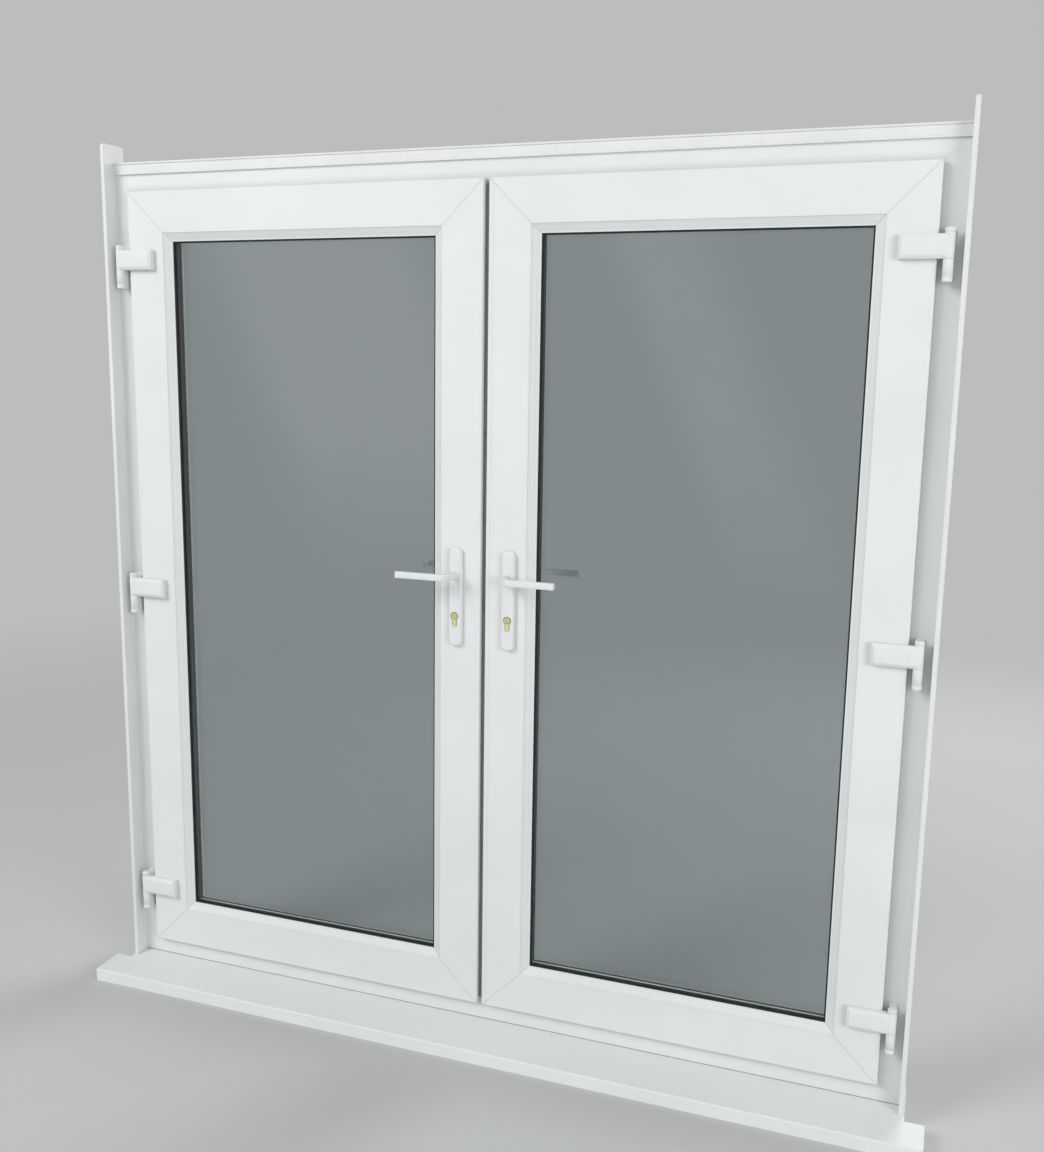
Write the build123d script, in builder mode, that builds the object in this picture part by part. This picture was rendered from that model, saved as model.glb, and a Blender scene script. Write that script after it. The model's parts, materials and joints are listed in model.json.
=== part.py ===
from build123d import *
import os

os.makedirs("parts", exist_ok=True)

# Outward-opening double doorset. Millimetres. +X right seen from outside, +Y into the room, +Z up.
# X = 0 is the meeting line, Y = 0 the outer face of the outer frame, Z = 0 the underside of the cill.

# Main sizes
leaf_width = 888.0
leaf_height = 1850.0
meeting_gap = 12.0
frame_reveal = 46.0
cill_back_height = 32.0
wall = 3.0

# Outer frame section: face width, depth and the upstand behind the leaf
frame_face = 56.0
frame_depth = 70.0
upstand_reach = 18.0
upstand_thick = 16.0
steel_margin = 6.0
frame_steel_gap = 80.0
leaf_steel_gap = 130.0

# Leaf section: face width to the glass line, bevel and flange
leaf_depth = 70.0
leaf_proud = 20.0
stile_face = 113.0
bevel_width = 19.0
bevel_drop = 11.0
flange_width = 22.0
seal_gap = 4.0
groove_width = 16.0
groove_depth = 3.0

# Glazing
pane_thick = 4.0
unit_thick = 28.0
outer_gasket_thick = 3.0
inner_gasket_thick = 2.5
gasket_show = 3.5
glass_cover = 15.0
rebate_depth = 20.0

# Cill, boards and head trim
cill_nose_height = 30.0
cill_projection = 136.0
cill_horn = 43.0
horn_depth = 81.0
cill_web = 24.0
cap_thick = 2.5
board_thick = 10.0
board_front = 38.0
board_width = 70.0
board_rise = 61.0
trim_height = 27.0
trim_thick = 5.0
trim_leg = 30.0

# Hinges: top of each knuckle above the leaf's bottom edge
hinge_tops = (182.0, 955.0, 1729.0)
hinge_height = 98.0
knuckle_radius = 9.5
pin_radius = 4.0
running_clearance = 0.05
axis_outside_leaf = 20.0
axis_before_face = 7.0
upper_knuckle = 56.0
flag_length = 70.0
flag_height = 45.0
flag_drop = 11.0
flag_thick = 17.0
core_thick = 6.0

# Handles and lock
pivot_height = 1013.0
lever_to_cylinder = 92.0
backset = 56.0
plate_width = 32.0
plate_above_pivot = 61.0
plate_below_cylinder = 69.0
plate_thick = 11.0
lever_reach = 121.0
lever_standoff = 46.0
lever_height = 15.0
lever_thick = 12.0
neck_radius = 9.0
spindle_size = 8.0
follower_radius = 11.0
gearbox_reach = 45.0
gearbox_thick = 15.0
gearbox_margin = 7.5
gearbox_guide = 40.0
bolt_overlap = 38.0
faceplate_short = 60.0
euro_width = 17.0
euro_height = 33.0
bolt_radius = 5.0
bolt_throw = 20.0
bolt_inset = 34.0
slot_play_x = 2.0
slot_play_y = 1.0
keep_length = 60.0
keep_width = 24.0
keep_thick = 2.0
screw_radius = 2.5
screw_inset = 14.0

# Wall fixings through the jambs: from the frame's ends, and the middle pair from each other
fixing_radius = 4.0
fixing_depth = 45.0
fixing_inset = 200.0
fixing_pair = 466.0

# Derived positions
leaf_inner_x = meeting_gap / 2
leaf_outer_x = leaf_inner_x + leaf_width
frame_x = leaf_outer_x + frame_reveal
leaf_bottom = cill_back_height + frame_reveal
leaf_top = leaf_bottom + leaf_height
frame_bottom = cill_back_height
frame_top = leaf_top + frame_reveal
leaf_back = leaf_depth - leaf_proud
body_front = -seal_gap
rebate_wall = -leaf_proud + bevel_drop + 2.0
rebate_floor = stile_face - rebate_depth
glass_front = rebate_wall + outer_gasket_thick
glass_back = glass_front + unit_thick
bead_front = glass_back + inner_gasket_thick
glass_edge = stile_face - glass_cover
upstand_front = frame_depth - upstand_thick
axis_x = leaf_outer_x + axis_outside_leaf
axis_y = -leaf_proud - axis_before_face
groove_mid = 22.0
lock_z = leaf_bottom + pivot_height
cylinder_z = lock_z - lever_to_cylinder
lock_x = leaf_inner_x + backset
bolt_x = leaf_inner_x + bolt_inset
cylinder_low = cylinder_z + euro_width / 2 - euro_height
plate_high = lock_z + plate_above_pivot
plate_low = cylinder_z - plate_below_cylinder
plate_height = plate_high - plate_low
screw_zs = (plate_high - screw_inset, (cylinder_low + plate_low) / 2)
gearbox_low = cylinder_low - gearbox_margin
gearbox_high = screw_zs[0] - screw_radius - gearbox_margin - 1.0
bolt_tip = flange_width + 1.0
board_top = frame_top + board_rise
board_x = frame_x + board_thick
horn_x = board_x + cill_horn
frame_middle = (frame_bottom + frame_top) / 2
fixing_heights = (frame_bottom + fixing_inset, frame_middle - fixing_pair / 2,
                  frame_middle + fixing_pair / 2, frame_top - fixing_inset)
clear = 0.3

# Section corners as (inwards, depth) pairs measured from the outer edge of a profile
frame_outline = [(0, 0), (frame_face, 0), (frame_face, upstand_front), (frame_face + upstand_reach, upstand_front),
                 (frame_face + upstand_reach, frame_depth), (0, frame_depth)]
frame_chambers = [(wall, frame_face - wall, wall, 13.0),
                  (wall, frame_face - wall, 16.0, upstand_front),
                  (wall, frame_face + upstand_reach - wall, upstand_front + wall, frame_depth - wall)]
groove_low = groove_mid - groove_width / 2
groove_high = groove_mid + groove_width / 2
groove_floor = flange_width + groove_depth
bevel_start = stile_face - bevel_width
leaf_outline = [(0, -leaf_proud), (bevel_start, -leaf_proud), (bevel_start + 1.2, -leaf_proud + 1.5),
                (stile_face - 3.0, -leaf_proud + bevel_drop - 0.8), (stile_face, -leaf_proud + bevel_drop),
                (stile_face, rebate_wall), (rebate_floor, rebate_wall), (rebate_floor, leaf_back),
                (flange_width, leaf_back), (flange_width, groove_high), (groove_floor, groove_high),
                (groove_floor, groove_low), (flange_width, groove_low), (flange_width, body_front),
                (0, body_front)]
main_chamber = (groove_floor + wall, rebate_floor - wall, -3.0, 34.0)
leaf_chambers = [(wall, flange_width - wall, -leaf_proud + wall, body_front - wall),
                 (flange_width, rebate_floor - wall, -leaf_proud + wall, -6.0),
                 main_chamber,
                 (groove_floor, rebate_floor - wall, 37.0, leaf_back - wall)]
bead_outline = [(rebate_floor, bead_front), (stile_face - 0.5, bead_front), (stile_face - 0.5, bead_front + 6.0),
                (stile_face - 9.0, leaf_back - 3.0), (stile_face - 10.0, leaf_back), (rebate_floor, leaf_back)]
bead_chambers = [(rebate_floor + 2.0, stile_face - 11.5, bead_front + 2.0, leaf_back - 5.0)]

# Plane of a profile's section on one side of a rectangle, looking along the profile
def side_plane(side, x0, x1, z0, z1):
    planes = {
        "bottom": Plane(origin=(x1, 0, z0), x_dir=(0, 0, 1), z_dir=(-1, 0, 0)),
        "top": Plane(origin=(x0, 0, z1), x_dir=(0, 0, -1), z_dir=(1, 0, 0)),
        "left": Plane(origin=(x0, 0, z0), x_dir=(1, 0, 0), z_dir=(0, 0, 1)),
        "right": Plane(origin=(x1, 0, z1), x_dir=(-1, 0, 0), z_dir=(0, 0, -1)),
    }
    return planes[side]

# One hollow length of a rectangle's side, with both ends cut on the mitre
def mitred_length(side, box, outline, chambers, round_corner=None, joint=0.0):
    x0, x1, z0, z1 = box
    run = x1 - x0 if side in ("bottom", "top") else z1 - z0
    with BuildSketch(side_plane(side, x0, x1, z0, z1)) as section:
        with BuildLine():
            Polyline(*outline, close=True)
        make_face()
        if round_corner:
            fillet(section.vertices().sort_by_distance(Vector(*round_corner))[0], radius=2.5)
        for u0, u1, d0, d1 in chambers:
            with Locations(((u0 + u1) / 2, (d0 + d1) / 2)):
                Rectangle(u1 - u0, d1 - d0, mode=Mode.SUBTRACT)
    extrude(section.sketch, amount=run)
    cuts = {
        "bottom": (((x0, 0, z0), (1, 0, -1)), ((x1, 0, z0), (-1, 0, -1))),
        "top": (((x0, 0, z1), (1, 0, 1)), ((x1, 0, z1), (-1, 0, 1))),
        "left": (((x0, 0, z0), (-1, 0, 1)), ((x0, 0, z1), (-1, 0, -1))),
        "right": (((x1, 0, z0), (1, 0, 1)), ((x1, 0, z1), (1, 0, -1))),
    }
    for corner, normal in cuts[side]:
        split(bisect_by=Plane(origin=corner, z_dir=normal).offset(joint), keep=Keep.TOP)

# One square-cut steel tube in a chamber, its ends held back from the corners
def steel_length(side, box, u0, u1, d0, d1, back):
    x0, x1, z0, z1 = box
    run = x1 - x0 if side in ("bottom", "top") else z1 - z0
    plane = side_plane(side, x0, x1, z0, z1)
    with BuildSketch(plane.offset(back)) as section:
        with Locations(((u0 + u1) / 2, (d0 + d1) / 2)):
            Rectangle(u1 - u0, d1 - d0)
            Rectangle(u1 - u0 - 3.0, d1 - d0 - 3.0, mode=Mode.SUBTRACT)
    extrude(section.sketch, amount=run - 2 * back)

# Vertical plane facing outwards at depth y; a negative extrude goes into the room
def front_plane(y):
    return Plane(origin=(0, y, 0), x_dir=(1, 0, 0), z_dir=(0, -1, 0))

# Rectangular ring between two insets of a rectangle, from depth y0 to y1
def ring(box, outer, inner, y0, y1):
    x0, x1, z0, z1 = box
    with BuildSketch(front_plane(y0)) as outline:
        with Locations(((x0 + x1) / 2, (z0 + z1) / 2)):
            Rectangle(x1 - x0 - 2 * outer, z1 - z0 - 2 * outer)
            Rectangle(x1 - x0 - 2 * inner, z1 - z0 - 2 * inner, mode=Mode.SUBTRACT)
    extrude(outline.sketch, amount=-(y1 - y0))

# Plain block from its two opposite corners
def block(x0, x1, y0, y1, z0, z1, mode=Mode.ADD):
    with Locations(((x0 + x1) / 2, (y0 + y1) / 2, (z0 + z1) / 2)):
        Box(abs(x1 - x0), abs(y1 - y0), abs(z1 - z0), mode=mode)

# Round bar or hole along Y
def bar_y(x, z, radius, y0, y1, mode=Mode.ADD):
    with BuildSketch(front_plane(y0)) as disc:
        with Locations((x, z)):
            Circle(radius)
    extrude(disc.sketch, amount=-(y1 - y0), mode=mode)

# Round bar or hole along Z
def bar_z(x, y, radius, z0, z1, mode=Mode.ADD):
    with BuildSketch(Plane.XY.offset(z0)) as disc:
        with Locations((x, y)):
            Circle(radius)
    extrude(disc.sketch, amount=z1 - z0, mode=mode)

# Euro cylinder shape: a round top with a narrower tail below, grown by a margin
def euro_shape(x, margin, y0, y1, mode=Mode.ADD):
    top_radius = euro_width / 2 + margin
    tail_radius = 5.0 + margin
    tail_z = cylinder_low + 5.0
    with BuildSketch(front_plane(y0)) as profile:
        with Locations((x, cylinder_z)):
            Circle(top_radius)
        with Locations((x, tail_z)):
            Circle(tail_radius)
        with Locations((x, (cylinder_z + tail_z) / 2)):
            Rectangle(2 * tail_radius, cylinder_z - tail_z)
    extrude(profile.sketch, amount=-(y1 - y0), mode=mode)

frame_box = (-frame_x, frame_x, frame_bottom, frame_top)

# Slots that the four shoot bolts run into, through the keeps and the frame's inner wall
def bolt_slots(z0, z1):
    half_x = bolt_radius + slot_play_x
    half_y = bolt_radius + slot_play_y
    for x in (-bolt_x, bolt_x):
        block(x - half_x, x + half_x, groove_mid - half_y, groove_mid + half_y, z0, z1, mode=Mode.SUBTRACT)

# Outer frame
with BuildPart() as frame_head:
    mitred_length("top", frame_box, frame_outline, frame_chambers)
    bolt_slots(frame_top - frame_face - 1, frame_top - frame_face + wall + 1)
frame_head.part.label = "frame_head"
export_step(frame_head.part, "parts/frame_head.step")

with BuildPart() as frame_sill:
    mitred_length("bottom", frame_box, frame_outline, frame_chambers)
    bolt_slots(frame_bottom + frame_face - wall - 1, frame_bottom + frame_face + 1)
frame_sill.part.label = "frame_sill"
export_step(frame_sill.part, "parts/frame_sill.step")

# Jambs with the holes for the wall fixings
def fixing_holes(x0, x1):
    with BuildSketch(Plane(origin=(min(x0, x1), 0, 0), x_dir=(0, 1, 0), z_dir=(1, 0, 0))) as holes:
        with Locations(*[(fixing_depth, z) for z in fixing_heights]):
            Circle(fixing_radius)
    extrude(holes.sketch, amount=abs(x1 - x0), mode=Mode.SUBTRACT)

with BuildPart() as frame_jamb_left:
    mitred_length("left", frame_box, frame_outline, frame_chambers)
    fixing_holes(-frame_x - 1, -frame_x + frame_face + 1)
frame_jamb_left.part.label = "frame_jamb_left"
export_step(frame_jamb_left.part, "parts/frame_jamb_left.step")

with BuildPart() as frame_jamb_right:
    mitred_length("right", frame_box, frame_outline, frame_chambers)
    fixing_holes(frame_x - frame_face - 1, frame_x + 1)
frame_jamb_right.part.label = "frame_jamb_right"
export_step(frame_jamb_right.part, "parts/frame_jamb_right.step")

frame_steel_top = frame_reveal + bolt_tip - bolt_throw - wall
with BuildPart() as frame_reinforcement:
    for side in ("bottom", "top", "left", "right"):
        steel_length(side, frame_box, steel_margin, frame_steel_top, 16.0, upstand_front, frame_steel_gap)
    fixing_holes(-frame_x, -frame_x + frame_face)
    fixing_holes(frame_x - frame_face, frame_x)
frame_reinforcement.part.label = "frame_reinforcement"
export_step(frame_reinforcement.part, "parts/frame_reinforcement.step")

with BuildPart() as frame_gasket:
    ring(frame_box, frame_face + 11.0, frame_face + 16.0, leaf_back, upstand_front)
frame_gasket.part.label = "frame_gasket"
export_step(frame_gasket.part, "parts/frame_gasket.step")

# Cill: hollow section with a sloping top, horns in front of the wall and notched ends
horn_back = -cill_projection + horn_depth
slope = (cill_back_height - cill_nose_height) / cill_projection
with BuildPart() as cill:
    with BuildSketch(Plane(origin=(-(horn_x - cap_thick), 0, 0), x_dir=(0, 1, 0), z_dir=(1, 0, 0))) as cill_section:
        with BuildLine():
            Polyline((-cill_projection, 0), (-cill_projection, cill_nose_height), (0, cill_back_height),
                     (frame_depth, cill_back_height), (frame_depth, 0), close=True)
        make_face()
        fillet(cill_section.vertices().sort_by_distance(Vector(-cill_projection, cill_nose_height))[0], radius=3.0)
        first_web = -cill_projection + cill_web
        webs = (-cill_projection + wall, first_web, first_web + wall, horn_back - wall, horn_back + wall, -wall, 0.0,
                frame_depth - wall)
        for y0, y1 in zip(webs[0::2], webs[1::2]):
            roof = cill_nose_height + slope * (y0 + cill_projection) - 1.3 * wall if y0 < 0 else cill_back_height - wall
            with Locations(((y0 + y1) / 2, (wall + roof) / 2)):
                Rectangle(y1 - y0, roof - wall, mode=Mode.SUBTRACT)
    extrude(amount=2 * (horn_x - cap_thick))
    for s in (-1, 1):
        block(s * board_x, s * (horn_x + 5), horn_back, frame_depth + 5, -5, cill_back_height + 5, mode=Mode.SUBTRACT)
    block(-horn_x, horn_x, -cill_projection + 12.0, -cill_projection + 15.0, -1.0, 1.5, mode=Mode.SUBTRACT)
cill.part.label = "cill"
export_step(cill.part, "parts/cill.step")

with BuildPart() as cill_end_caps:
    for s in (-1, 1):
        with BuildSketch(Plane.XY):
            with BuildLine():
                Polyline((s * (horn_x - cap_thick), -cill_projection), (s * horn_x, -cill_projection),
                         (s * horn_x, horn_back + cap_thick), (s * (board_x + cap_thick), horn_back + cap_thick),
                         (s * (board_x + cap_thick), frame_depth), (s * board_x, frame_depth),
                         (s * board_x, horn_back), (s * (horn_x - cap_thick), horn_back), close=True)
            make_face()
        extrude(amount=cill_back_height)
    with BuildSketch(Plane(origin=(-horn_x, 0, 0), x_dir=(0, 1, 0), z_dir=(1, 0, 0))):
        with BuildLine():
            Polyline((-cill_projection, 0), (-cill_projection, cill_nose_height - 1), (-cill_projection + 2,
                     cill_nose_height), (0, cill_back_height), (frame_depth, cill_back_height), (frame_depth, 0),
                     close=True)
        make_face()
    extrude(amount=2 * horn_x, mode=Mode.INTERSECT)
cill_end_caps.part.label = "cill_end_caps"
export_step(cill_end_caps.part, "parts/cill_end_caps.step")

# Reveal boards beside the frame, standing on the cill
with BuildPart() as reveal_boards:
    for s in (-1, 1):
        with BuildPart(mode=Mode.PRIVATE) as board:
            block(s * frame_x, s * board_x, -board_front, board_width - board_front, cill_back_height, board_top)
            fillet(board.edges().filter_by(Axis.X).group_by(Axis.Z)[-1].sort_by(Axis.Y)[0], radius=9.0)
            fillet(board.edges().filter_by(Axis.Z).group_by(Axis.Y)[0], radius=1.5)
        add(board.part)
reveal_boards.part.label = "reveal_boards"
export_step(reveal_boards.part, "parts/reveal_boards.step")

with BuildPart() as head_trim:
    trim_low = frame_top - 6.0
    trim_high = trim_low + trim_height
    with BuildSketch(Plane(origin=(-frame_x, 0, 0), x_dir=(0, 1, 0), z_dir=(1, 0, 0))) as trim_section:
        with BuildLine():
            Polyline((0, trim_low), (0, frame_top), (trim_leg, frame_top), (trim_leg, frame_top + wall),
                     (0, frame_top + wall), (0, trim_high), (-trim_thick - 3.0, trim_high), (-trim_thick - 3.0, trim_high - 4.0),
                     (-trim_thick, trim_high - 5.5), (-trim_thick, trim_low + 4.0), (-trim_thick - 1.5, trim_low + 3.0),
                     (-trim_thick - 1.5, trim_low), close=True)
        make_face()
        fillet(trim_section.vertices().sort_by_distance(Vector(-trim_thick - 3.0, trim_high))[0], radius=2.0)
    extrude(amount=2 * frame_x)
head_trim.part.label = "head_trim"
export_step(head_trim.part, "parts/head_trim.step")

# Keeps for the shoot bolts, screwed to the frame's inner sides
with BuildPart() as bolt_keeps:
    for z0, z1 in ((frame_bottom + frame_face, frame_bottom + frame_face + keep_thick),
                   (frame_top - frame_face - keep_thick, frame_top - frame_face)):
        for x in (-bolt_x, bolt_x):
            block(x - keep_length / 2, x + keep_length / 2, groove_mid - keep_width / 2, groove_mid + keep_width / 2,
                  z0, z1)
        bolt_slots(z0 - 1, z1 + 1)
bolt_keeps.part.label = "bolt_keeps"
export_step(bolt_keeps.part, "parts/bolt_keeps.step")

# Hinges: the frame parts carry the lower knuckle and the pin
with BuildPart() as hinge_frame_parts:
    for s in (-1, 1):
        for height in hinge_tops:
            top = leaf_bottom + height
            low = top - hinge_height
            seam = top - upper_knuckle
            block(s * (axis_x - 8), s * (axis_x + 8), -4.0, 0, low, top - 2.0)
            block(s * (axis_x - 6), s * (axis_x + 6), axis_y, -4.0, low, seam)
            bar_z(s * axis_x, axis_y, knuckle_radius, low, seam)
            bar_z(s * axis_x, axis_y, knuckle_radius + 1, low + 8.0, low + 8.6, mode=Mode.SUBTRACT)
            bar_z(s * axis_x, axis_y, knuckle_radius - 0.5, low + 8.0, low + 8.6)
            block(s * (axis_x - 6), s * (axis_x + 6), axis_y, -4.0, low + 8.0, low + 8.6)
            bar_z(s * axis_x, axis_y, pin_radius + running_clearance, low + 3.0, seam + 1, mode=Mode.SUBTRACT)
hinge_frame_parts.part.label = "hinge_frame_parts"
export_step(hinge_frame_parts.part, "parts/hinge_frame_parts.step")

with BuildPart() as hinge_pins:
    for s in (-1, 1):
        for height in hinge_tops:
            top = leaf_bottom + height
            bar_z(s * axis_x, axis_y, pin_radius, top - hinge_height + 3.0, top - 8.0)
hinge_pins.part.label = "hinge_pins"
export_step(hinge_pins.part, "parts/hinge_pins.step")

# Lever: a bar that leaves the plate, bends and runs towards the hinges
def lever_bar(s, face_y, out):
    start = face_y + out * 3.0
    corner = face_y + out * lever_standoff
    radius = 14.0
    with BuildLine() as lever_path:
        p0 = (s * lock_x, start, lock_z)
        p1 = (s * lock_x, corner - out * radius, lock_z)
        p2 = (s * (lock_x + radius), corner, lock_z)
        p3 = (s * (lock_x + lever_reach), corner, lock_z)
        mid = 0.70710678
        pm = (s * (lock_x + radius * (1 - mid)), corner - out * radius * (1 - mid), lock_z)
        Line(p0, p1)
        ThreePointArc(p1, pm, p2)
        Line(p2, p3)
    with BuildSketch(Plane(origin=p0, x_dir=(1, 0, 0), z_dir=(0, out, 0))) as bar_section:
        RectangleRounded(lever_thick, lever_height, 4.0)
    sweep(bar_section.sketch, path=lever_path.wires()[0])

# Leaves: everything below is built once for each side
for leaf, s in (("left", -1), ("right", 1)):
    x_low, x_high = sorted((s * leaf_inner_x, s * leaf_outer_x))
    leaf_box = (x_low, x_high, leaf_bottom, leaf_top)
    hinge_side = leaf
    meeting_side = "right" if leaf == "left" else "left"

    with BuildPart() as hinge_stile:
        mitred_length(hinge_side, leaf_box, leaf_outline, leaf_chambers, (0, -leaf_proud))
    hinge_stile.part.label = leaf + "_hinge_stile"
    export_step(hinge_stile.part, "parts/" + leaf + "_hinge_stile.step")

    with BuildPart() as meeting_stile:
        mitred_length(meeting_side, leaf_box, leaf_outline, leaf_chambers, (0, -leaf_proud))
        bar_y(s * lock_x, lock_z, neck_radius, -leaf_proud - 1, leaf_back + 1, mode=Mode.SUBTRACT)
        euro_shape(s * lock_x, 0.5, -leaf_proud - 1, leaf_back + 1, mode=Mode.SUBTRACT)
        for z in screw_zs:
            bar_y(s * lock_x, z, screw_radius + clear, -leaf_proud - 1, leaf_back + 1, mode=Mode.SUBTRACT)
        block(s * (leaf_inner_x + groove_floor - 1), s * (leaf_inner_x + groove_floor + wall + 1),
              groove_mid - gearbox_thick / 2, groove_mid + gearbox_thick / 2, gearbox_low, gearbox_high,
              mode=Mode.SUBTRACT)
    meeting_stile.part.label = leaf + "_meeting_stile"
    export_step(meeting_stile.part, "parts/" + leaf + "_meeting_stile.step")

    with BuildPart() as top_rail:
        mitred_length("top", leaf_box, leaf_outline, leaf_chambers, (0, -leaf_proud))
        bar_z(s * bolt_x, groove_mid, bolt_radius + clear, leaf_top - groove_floor - wall - 1, leaf_top - flange_width + 1,
              mode=Mode.SUBTRACT)
    top_rail.part.label = leaf + "_top_rail"
    export_step(top_rail.part, "parts/" + leaf + "_top_rail.step")

    with BuildPart() as bottom_rail:
        mitred_length("bottom", leaf_box, leaf_outline, leaf_chambers, (0, -leaf_proud))
        bar_z(s * bolt_x, groove_mid, bolt_radius + clear, leaf_bottom + flange_width - 1,
              leaf_bottom + groove_floor + wall + 1, mode=Mode.SUBTRACT)
    bottom_rail.part.label = leaf + "_bottom_rail"
    export_step(bottom_rail.part, "parts/" + leaf + "_bottom_rail.step")

    with BuildPart() as reinforcement:
        for side in ("bottom", "top", hinge_side):
            steel_length(side, leaf_box, main_chamber[0] + 2, main_chamber[1] - 2, main_chamber[2], main_chamber[3],
                         leaf_steel_gap)
        steel_length(meeting_side, leaf_box, groove_floor + gearbox_reach + 3.0, main_chamber[1] - 2, main_chamber[2],
                     main_chamber[3], leaf_steel_gap)
    reinforcement.part.label = leaf + "_reinforcement"
    export_step(reinforcement.part, "parts/" + leaf + "_reinforcement.step")

    with BuildPart() as glass_panes:
        for y0 in (glass_front, glass_back - pane_thick):
            block(x_low + glass_edge, x_high - glass_edge, y0, y0 + pane_thick, leaf_bottom + glass_edge,
                  leaf_top - glass_edge)
    glass_panes.part.label = leaf + "_glass_panes"
    export_step(glass_panes.part, "parts/" + leaf + "_glass_panes.step")

    with BuildPart() as spacer_bar:
        ring(leaf_box, glass_edge + 4.0, stile_face - 0.5, glass_front + pane_thick, glass_back - pane_thick)
    spacer_bar.part.label = leaf + "_spacer_bar"
    export_step(spacer_bar.part, "parts/" + leaf + "_spacer_bar.step")

    with BuildPart() as glazing_gaskets:
        ring(leaf_box, stile_face - 9.0, stile_face + gasket_show, rebate_wall, glass_front)
        ring(leaf_box, stile_face - 12.0, stile_face + 1.0, glass_back, bead_front)
    glazing_gaskets.part.label = leaf + "_glazing_gaskets"
    export_step(glazing_gaskets.part, "parts/" + leaf + "_glazing_gaskets.step")

    with BuildPart() as glazing_beads:
        for side in ("bottom", "top", "left", "right"):
            with BuildPart(mode=Mode.PRIVATE) as bead:
                mitred_length(side, leaf_box, bead_outline, bead_chambers, joint=0.1)
            add(bead.part)
    glazing_beads.part.label = leaf + "_glazing_beads"
    export_step(glazing_beads.part, "parts/" + leaf + "_glazing_beads.step")

    with BuildPart() as flange_gasket:
        ring(leaf_box, 2.5, 8.5, body_front, 0.0)
    flange_gasket.part.label = leaf + "_flange_gasket"
    export_step(flange_gasket.part, "parts/" + leaf + "_flange_gasket.step")

    # Hinge flags: steel plate on the leaf's face with the upper knuckle, under a plastic cover
    with BuildPart() as hinge_flags:
        for height in hinge_tops:
            top = leaf_bottom + height
            block(s * (leaf_outer_x - flag_length + 5.0), s * axis_x, -leaf_proud - core_thick, -leaf_proud,
                  top - upper_knuckle + 4.0, top - flag_drop - 4.0)
            bar_z(s * axis_x, axis_y, knuckle_radius, top - upper_knuckle, top)
            bar_z(s * axis_x, axis_y, knuckle_radius + 1, top - 9.0, top - 8.4, mode=Mode.SUBTRACT)
            bar_z(s * axis_x, axis_y, knuckle_radius - 0.5, top - 9.0, top - 8.4)
            bar_z(s * axis_x, axis_y, pin_radius + running_clearance, top - upper_knuckle - 1, top - 8.0,
                  mode=Mode.SUBTRACT)
    hinge_flags.part.label = leaf + "_hinge_flags"
    export_step(hinge_flags.part, "parts/" + leaf + "_hinge_flags.step")

    with BuildPart() as hinge_covers:
        for height in hinge_tops:
            top = leaf_bottom + height
            with BuildPart(mode=Mode.PRIVATE) as cover:
                block(s * (leaf_outer_x - flag_length), s * (axis_x - 1.0), -leaf_proud - flag_thick, -leaf_proud,
                      top - flag_drop - flag_height, top - flag_drop)
                chamfer(cover.edges().group_by(Axis.Y)[0], length=4.0)
                block(s * (leaf_outer_x - flag_length + 2.5), s * (axis_x + 5.0), -leaf_proud - flag_thick + 6.5,
                      -leaf_proud, top - flag_drop - flag_height + 2.5, top - flag_drop - 2.5, mode=Mode.SUBTRACT)
                bar_z(s * axis_x, axis_y, knuckle_radius + 0.4, top - upper_knuckle - flag_drop, top, mode=Mode.SUBTRACT)
            add(cover.part)
    hinge_covers.part.label = leaf + "_hinge_covers"
    export_step(hinge_covers.part, "parts/" + leaf + "_hinge_covers.step")

    # Handle plates: die-cast shells with bosses, outside and inside
    plate_z = (plate_high + plate_low) / 2
    for where, face_y, out in (("outside", -leaf_proud, -1), ("inside", leaf_back, 1)):
        with BuildPart() as handle_plate:
            with BuildSketch(Plane(origin=(s * lock_x, face_y, plate_z), x_dir=(1, 0, 0), z_dir=(0, out, 0))):
                RectangleRounded(plate_width, plate_height, 12.0)
            extrude(amount=plate_thick)
            outer_edges = handle_plate.edges().group_by(Axis.Y)[0 if out < 0 else -1]
            fillet(outer_edges, radius=3.0)
            with BuildSketch(Plane(origin=(s * lock_x, face_y, plate_z), x_dir=(1, 0, 0), z_dir=(0, out, 0))):
                RectangleRounded(plate_width - 6.0, plate_height - 6.0, 9.0)
            extrude(amount=plate_thick - 3.0, mode=Mode.SUBTRACT)
            y0, y1 = sorted((face_y, face_y + out * (plate_thick - 2.0)))
            bar_y(s * lock_x, lock_z, 12.0, y0, y1)
            for z in screw_zs:
                bar_y(s * lock_x, z, 6.0, y0, y1)
            y0, y1 = sorted((face_y - out, face_y + out * (plate_thick + 1.0)))
            bar_y(s * lock_x, lock_z, neck_radius + running_clearance, y0, y1, mode=Mode.SUBTRACT)
            euro_shape(s * lock_x, 0.3, y0, y1, mode=Mode.SUBTRACT)
            for z in screw_zs:
                if out > 0:
                    bar_y(s * lock_x, z, screw_radius + clear, y0, y1, mode=Mode.SUBTRACT)
                    bar_y(s * lock_x, z, 4.5 + clear, face_y + plate_thick - 3.0, y1, mode=Mode.SUBTRACT)
                else:
                    bar_y(s * lock_x, z, screw_radius + 0.05, face_y - plate_thick + 3.0, y1, mode=Mode.SUBTRACT)
        handle_plate.part.label = leaf + "_plate_" + where
        export_step(handle_plate.part, "parts/" + leaf + "_plate_" + where + ".step")

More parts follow.
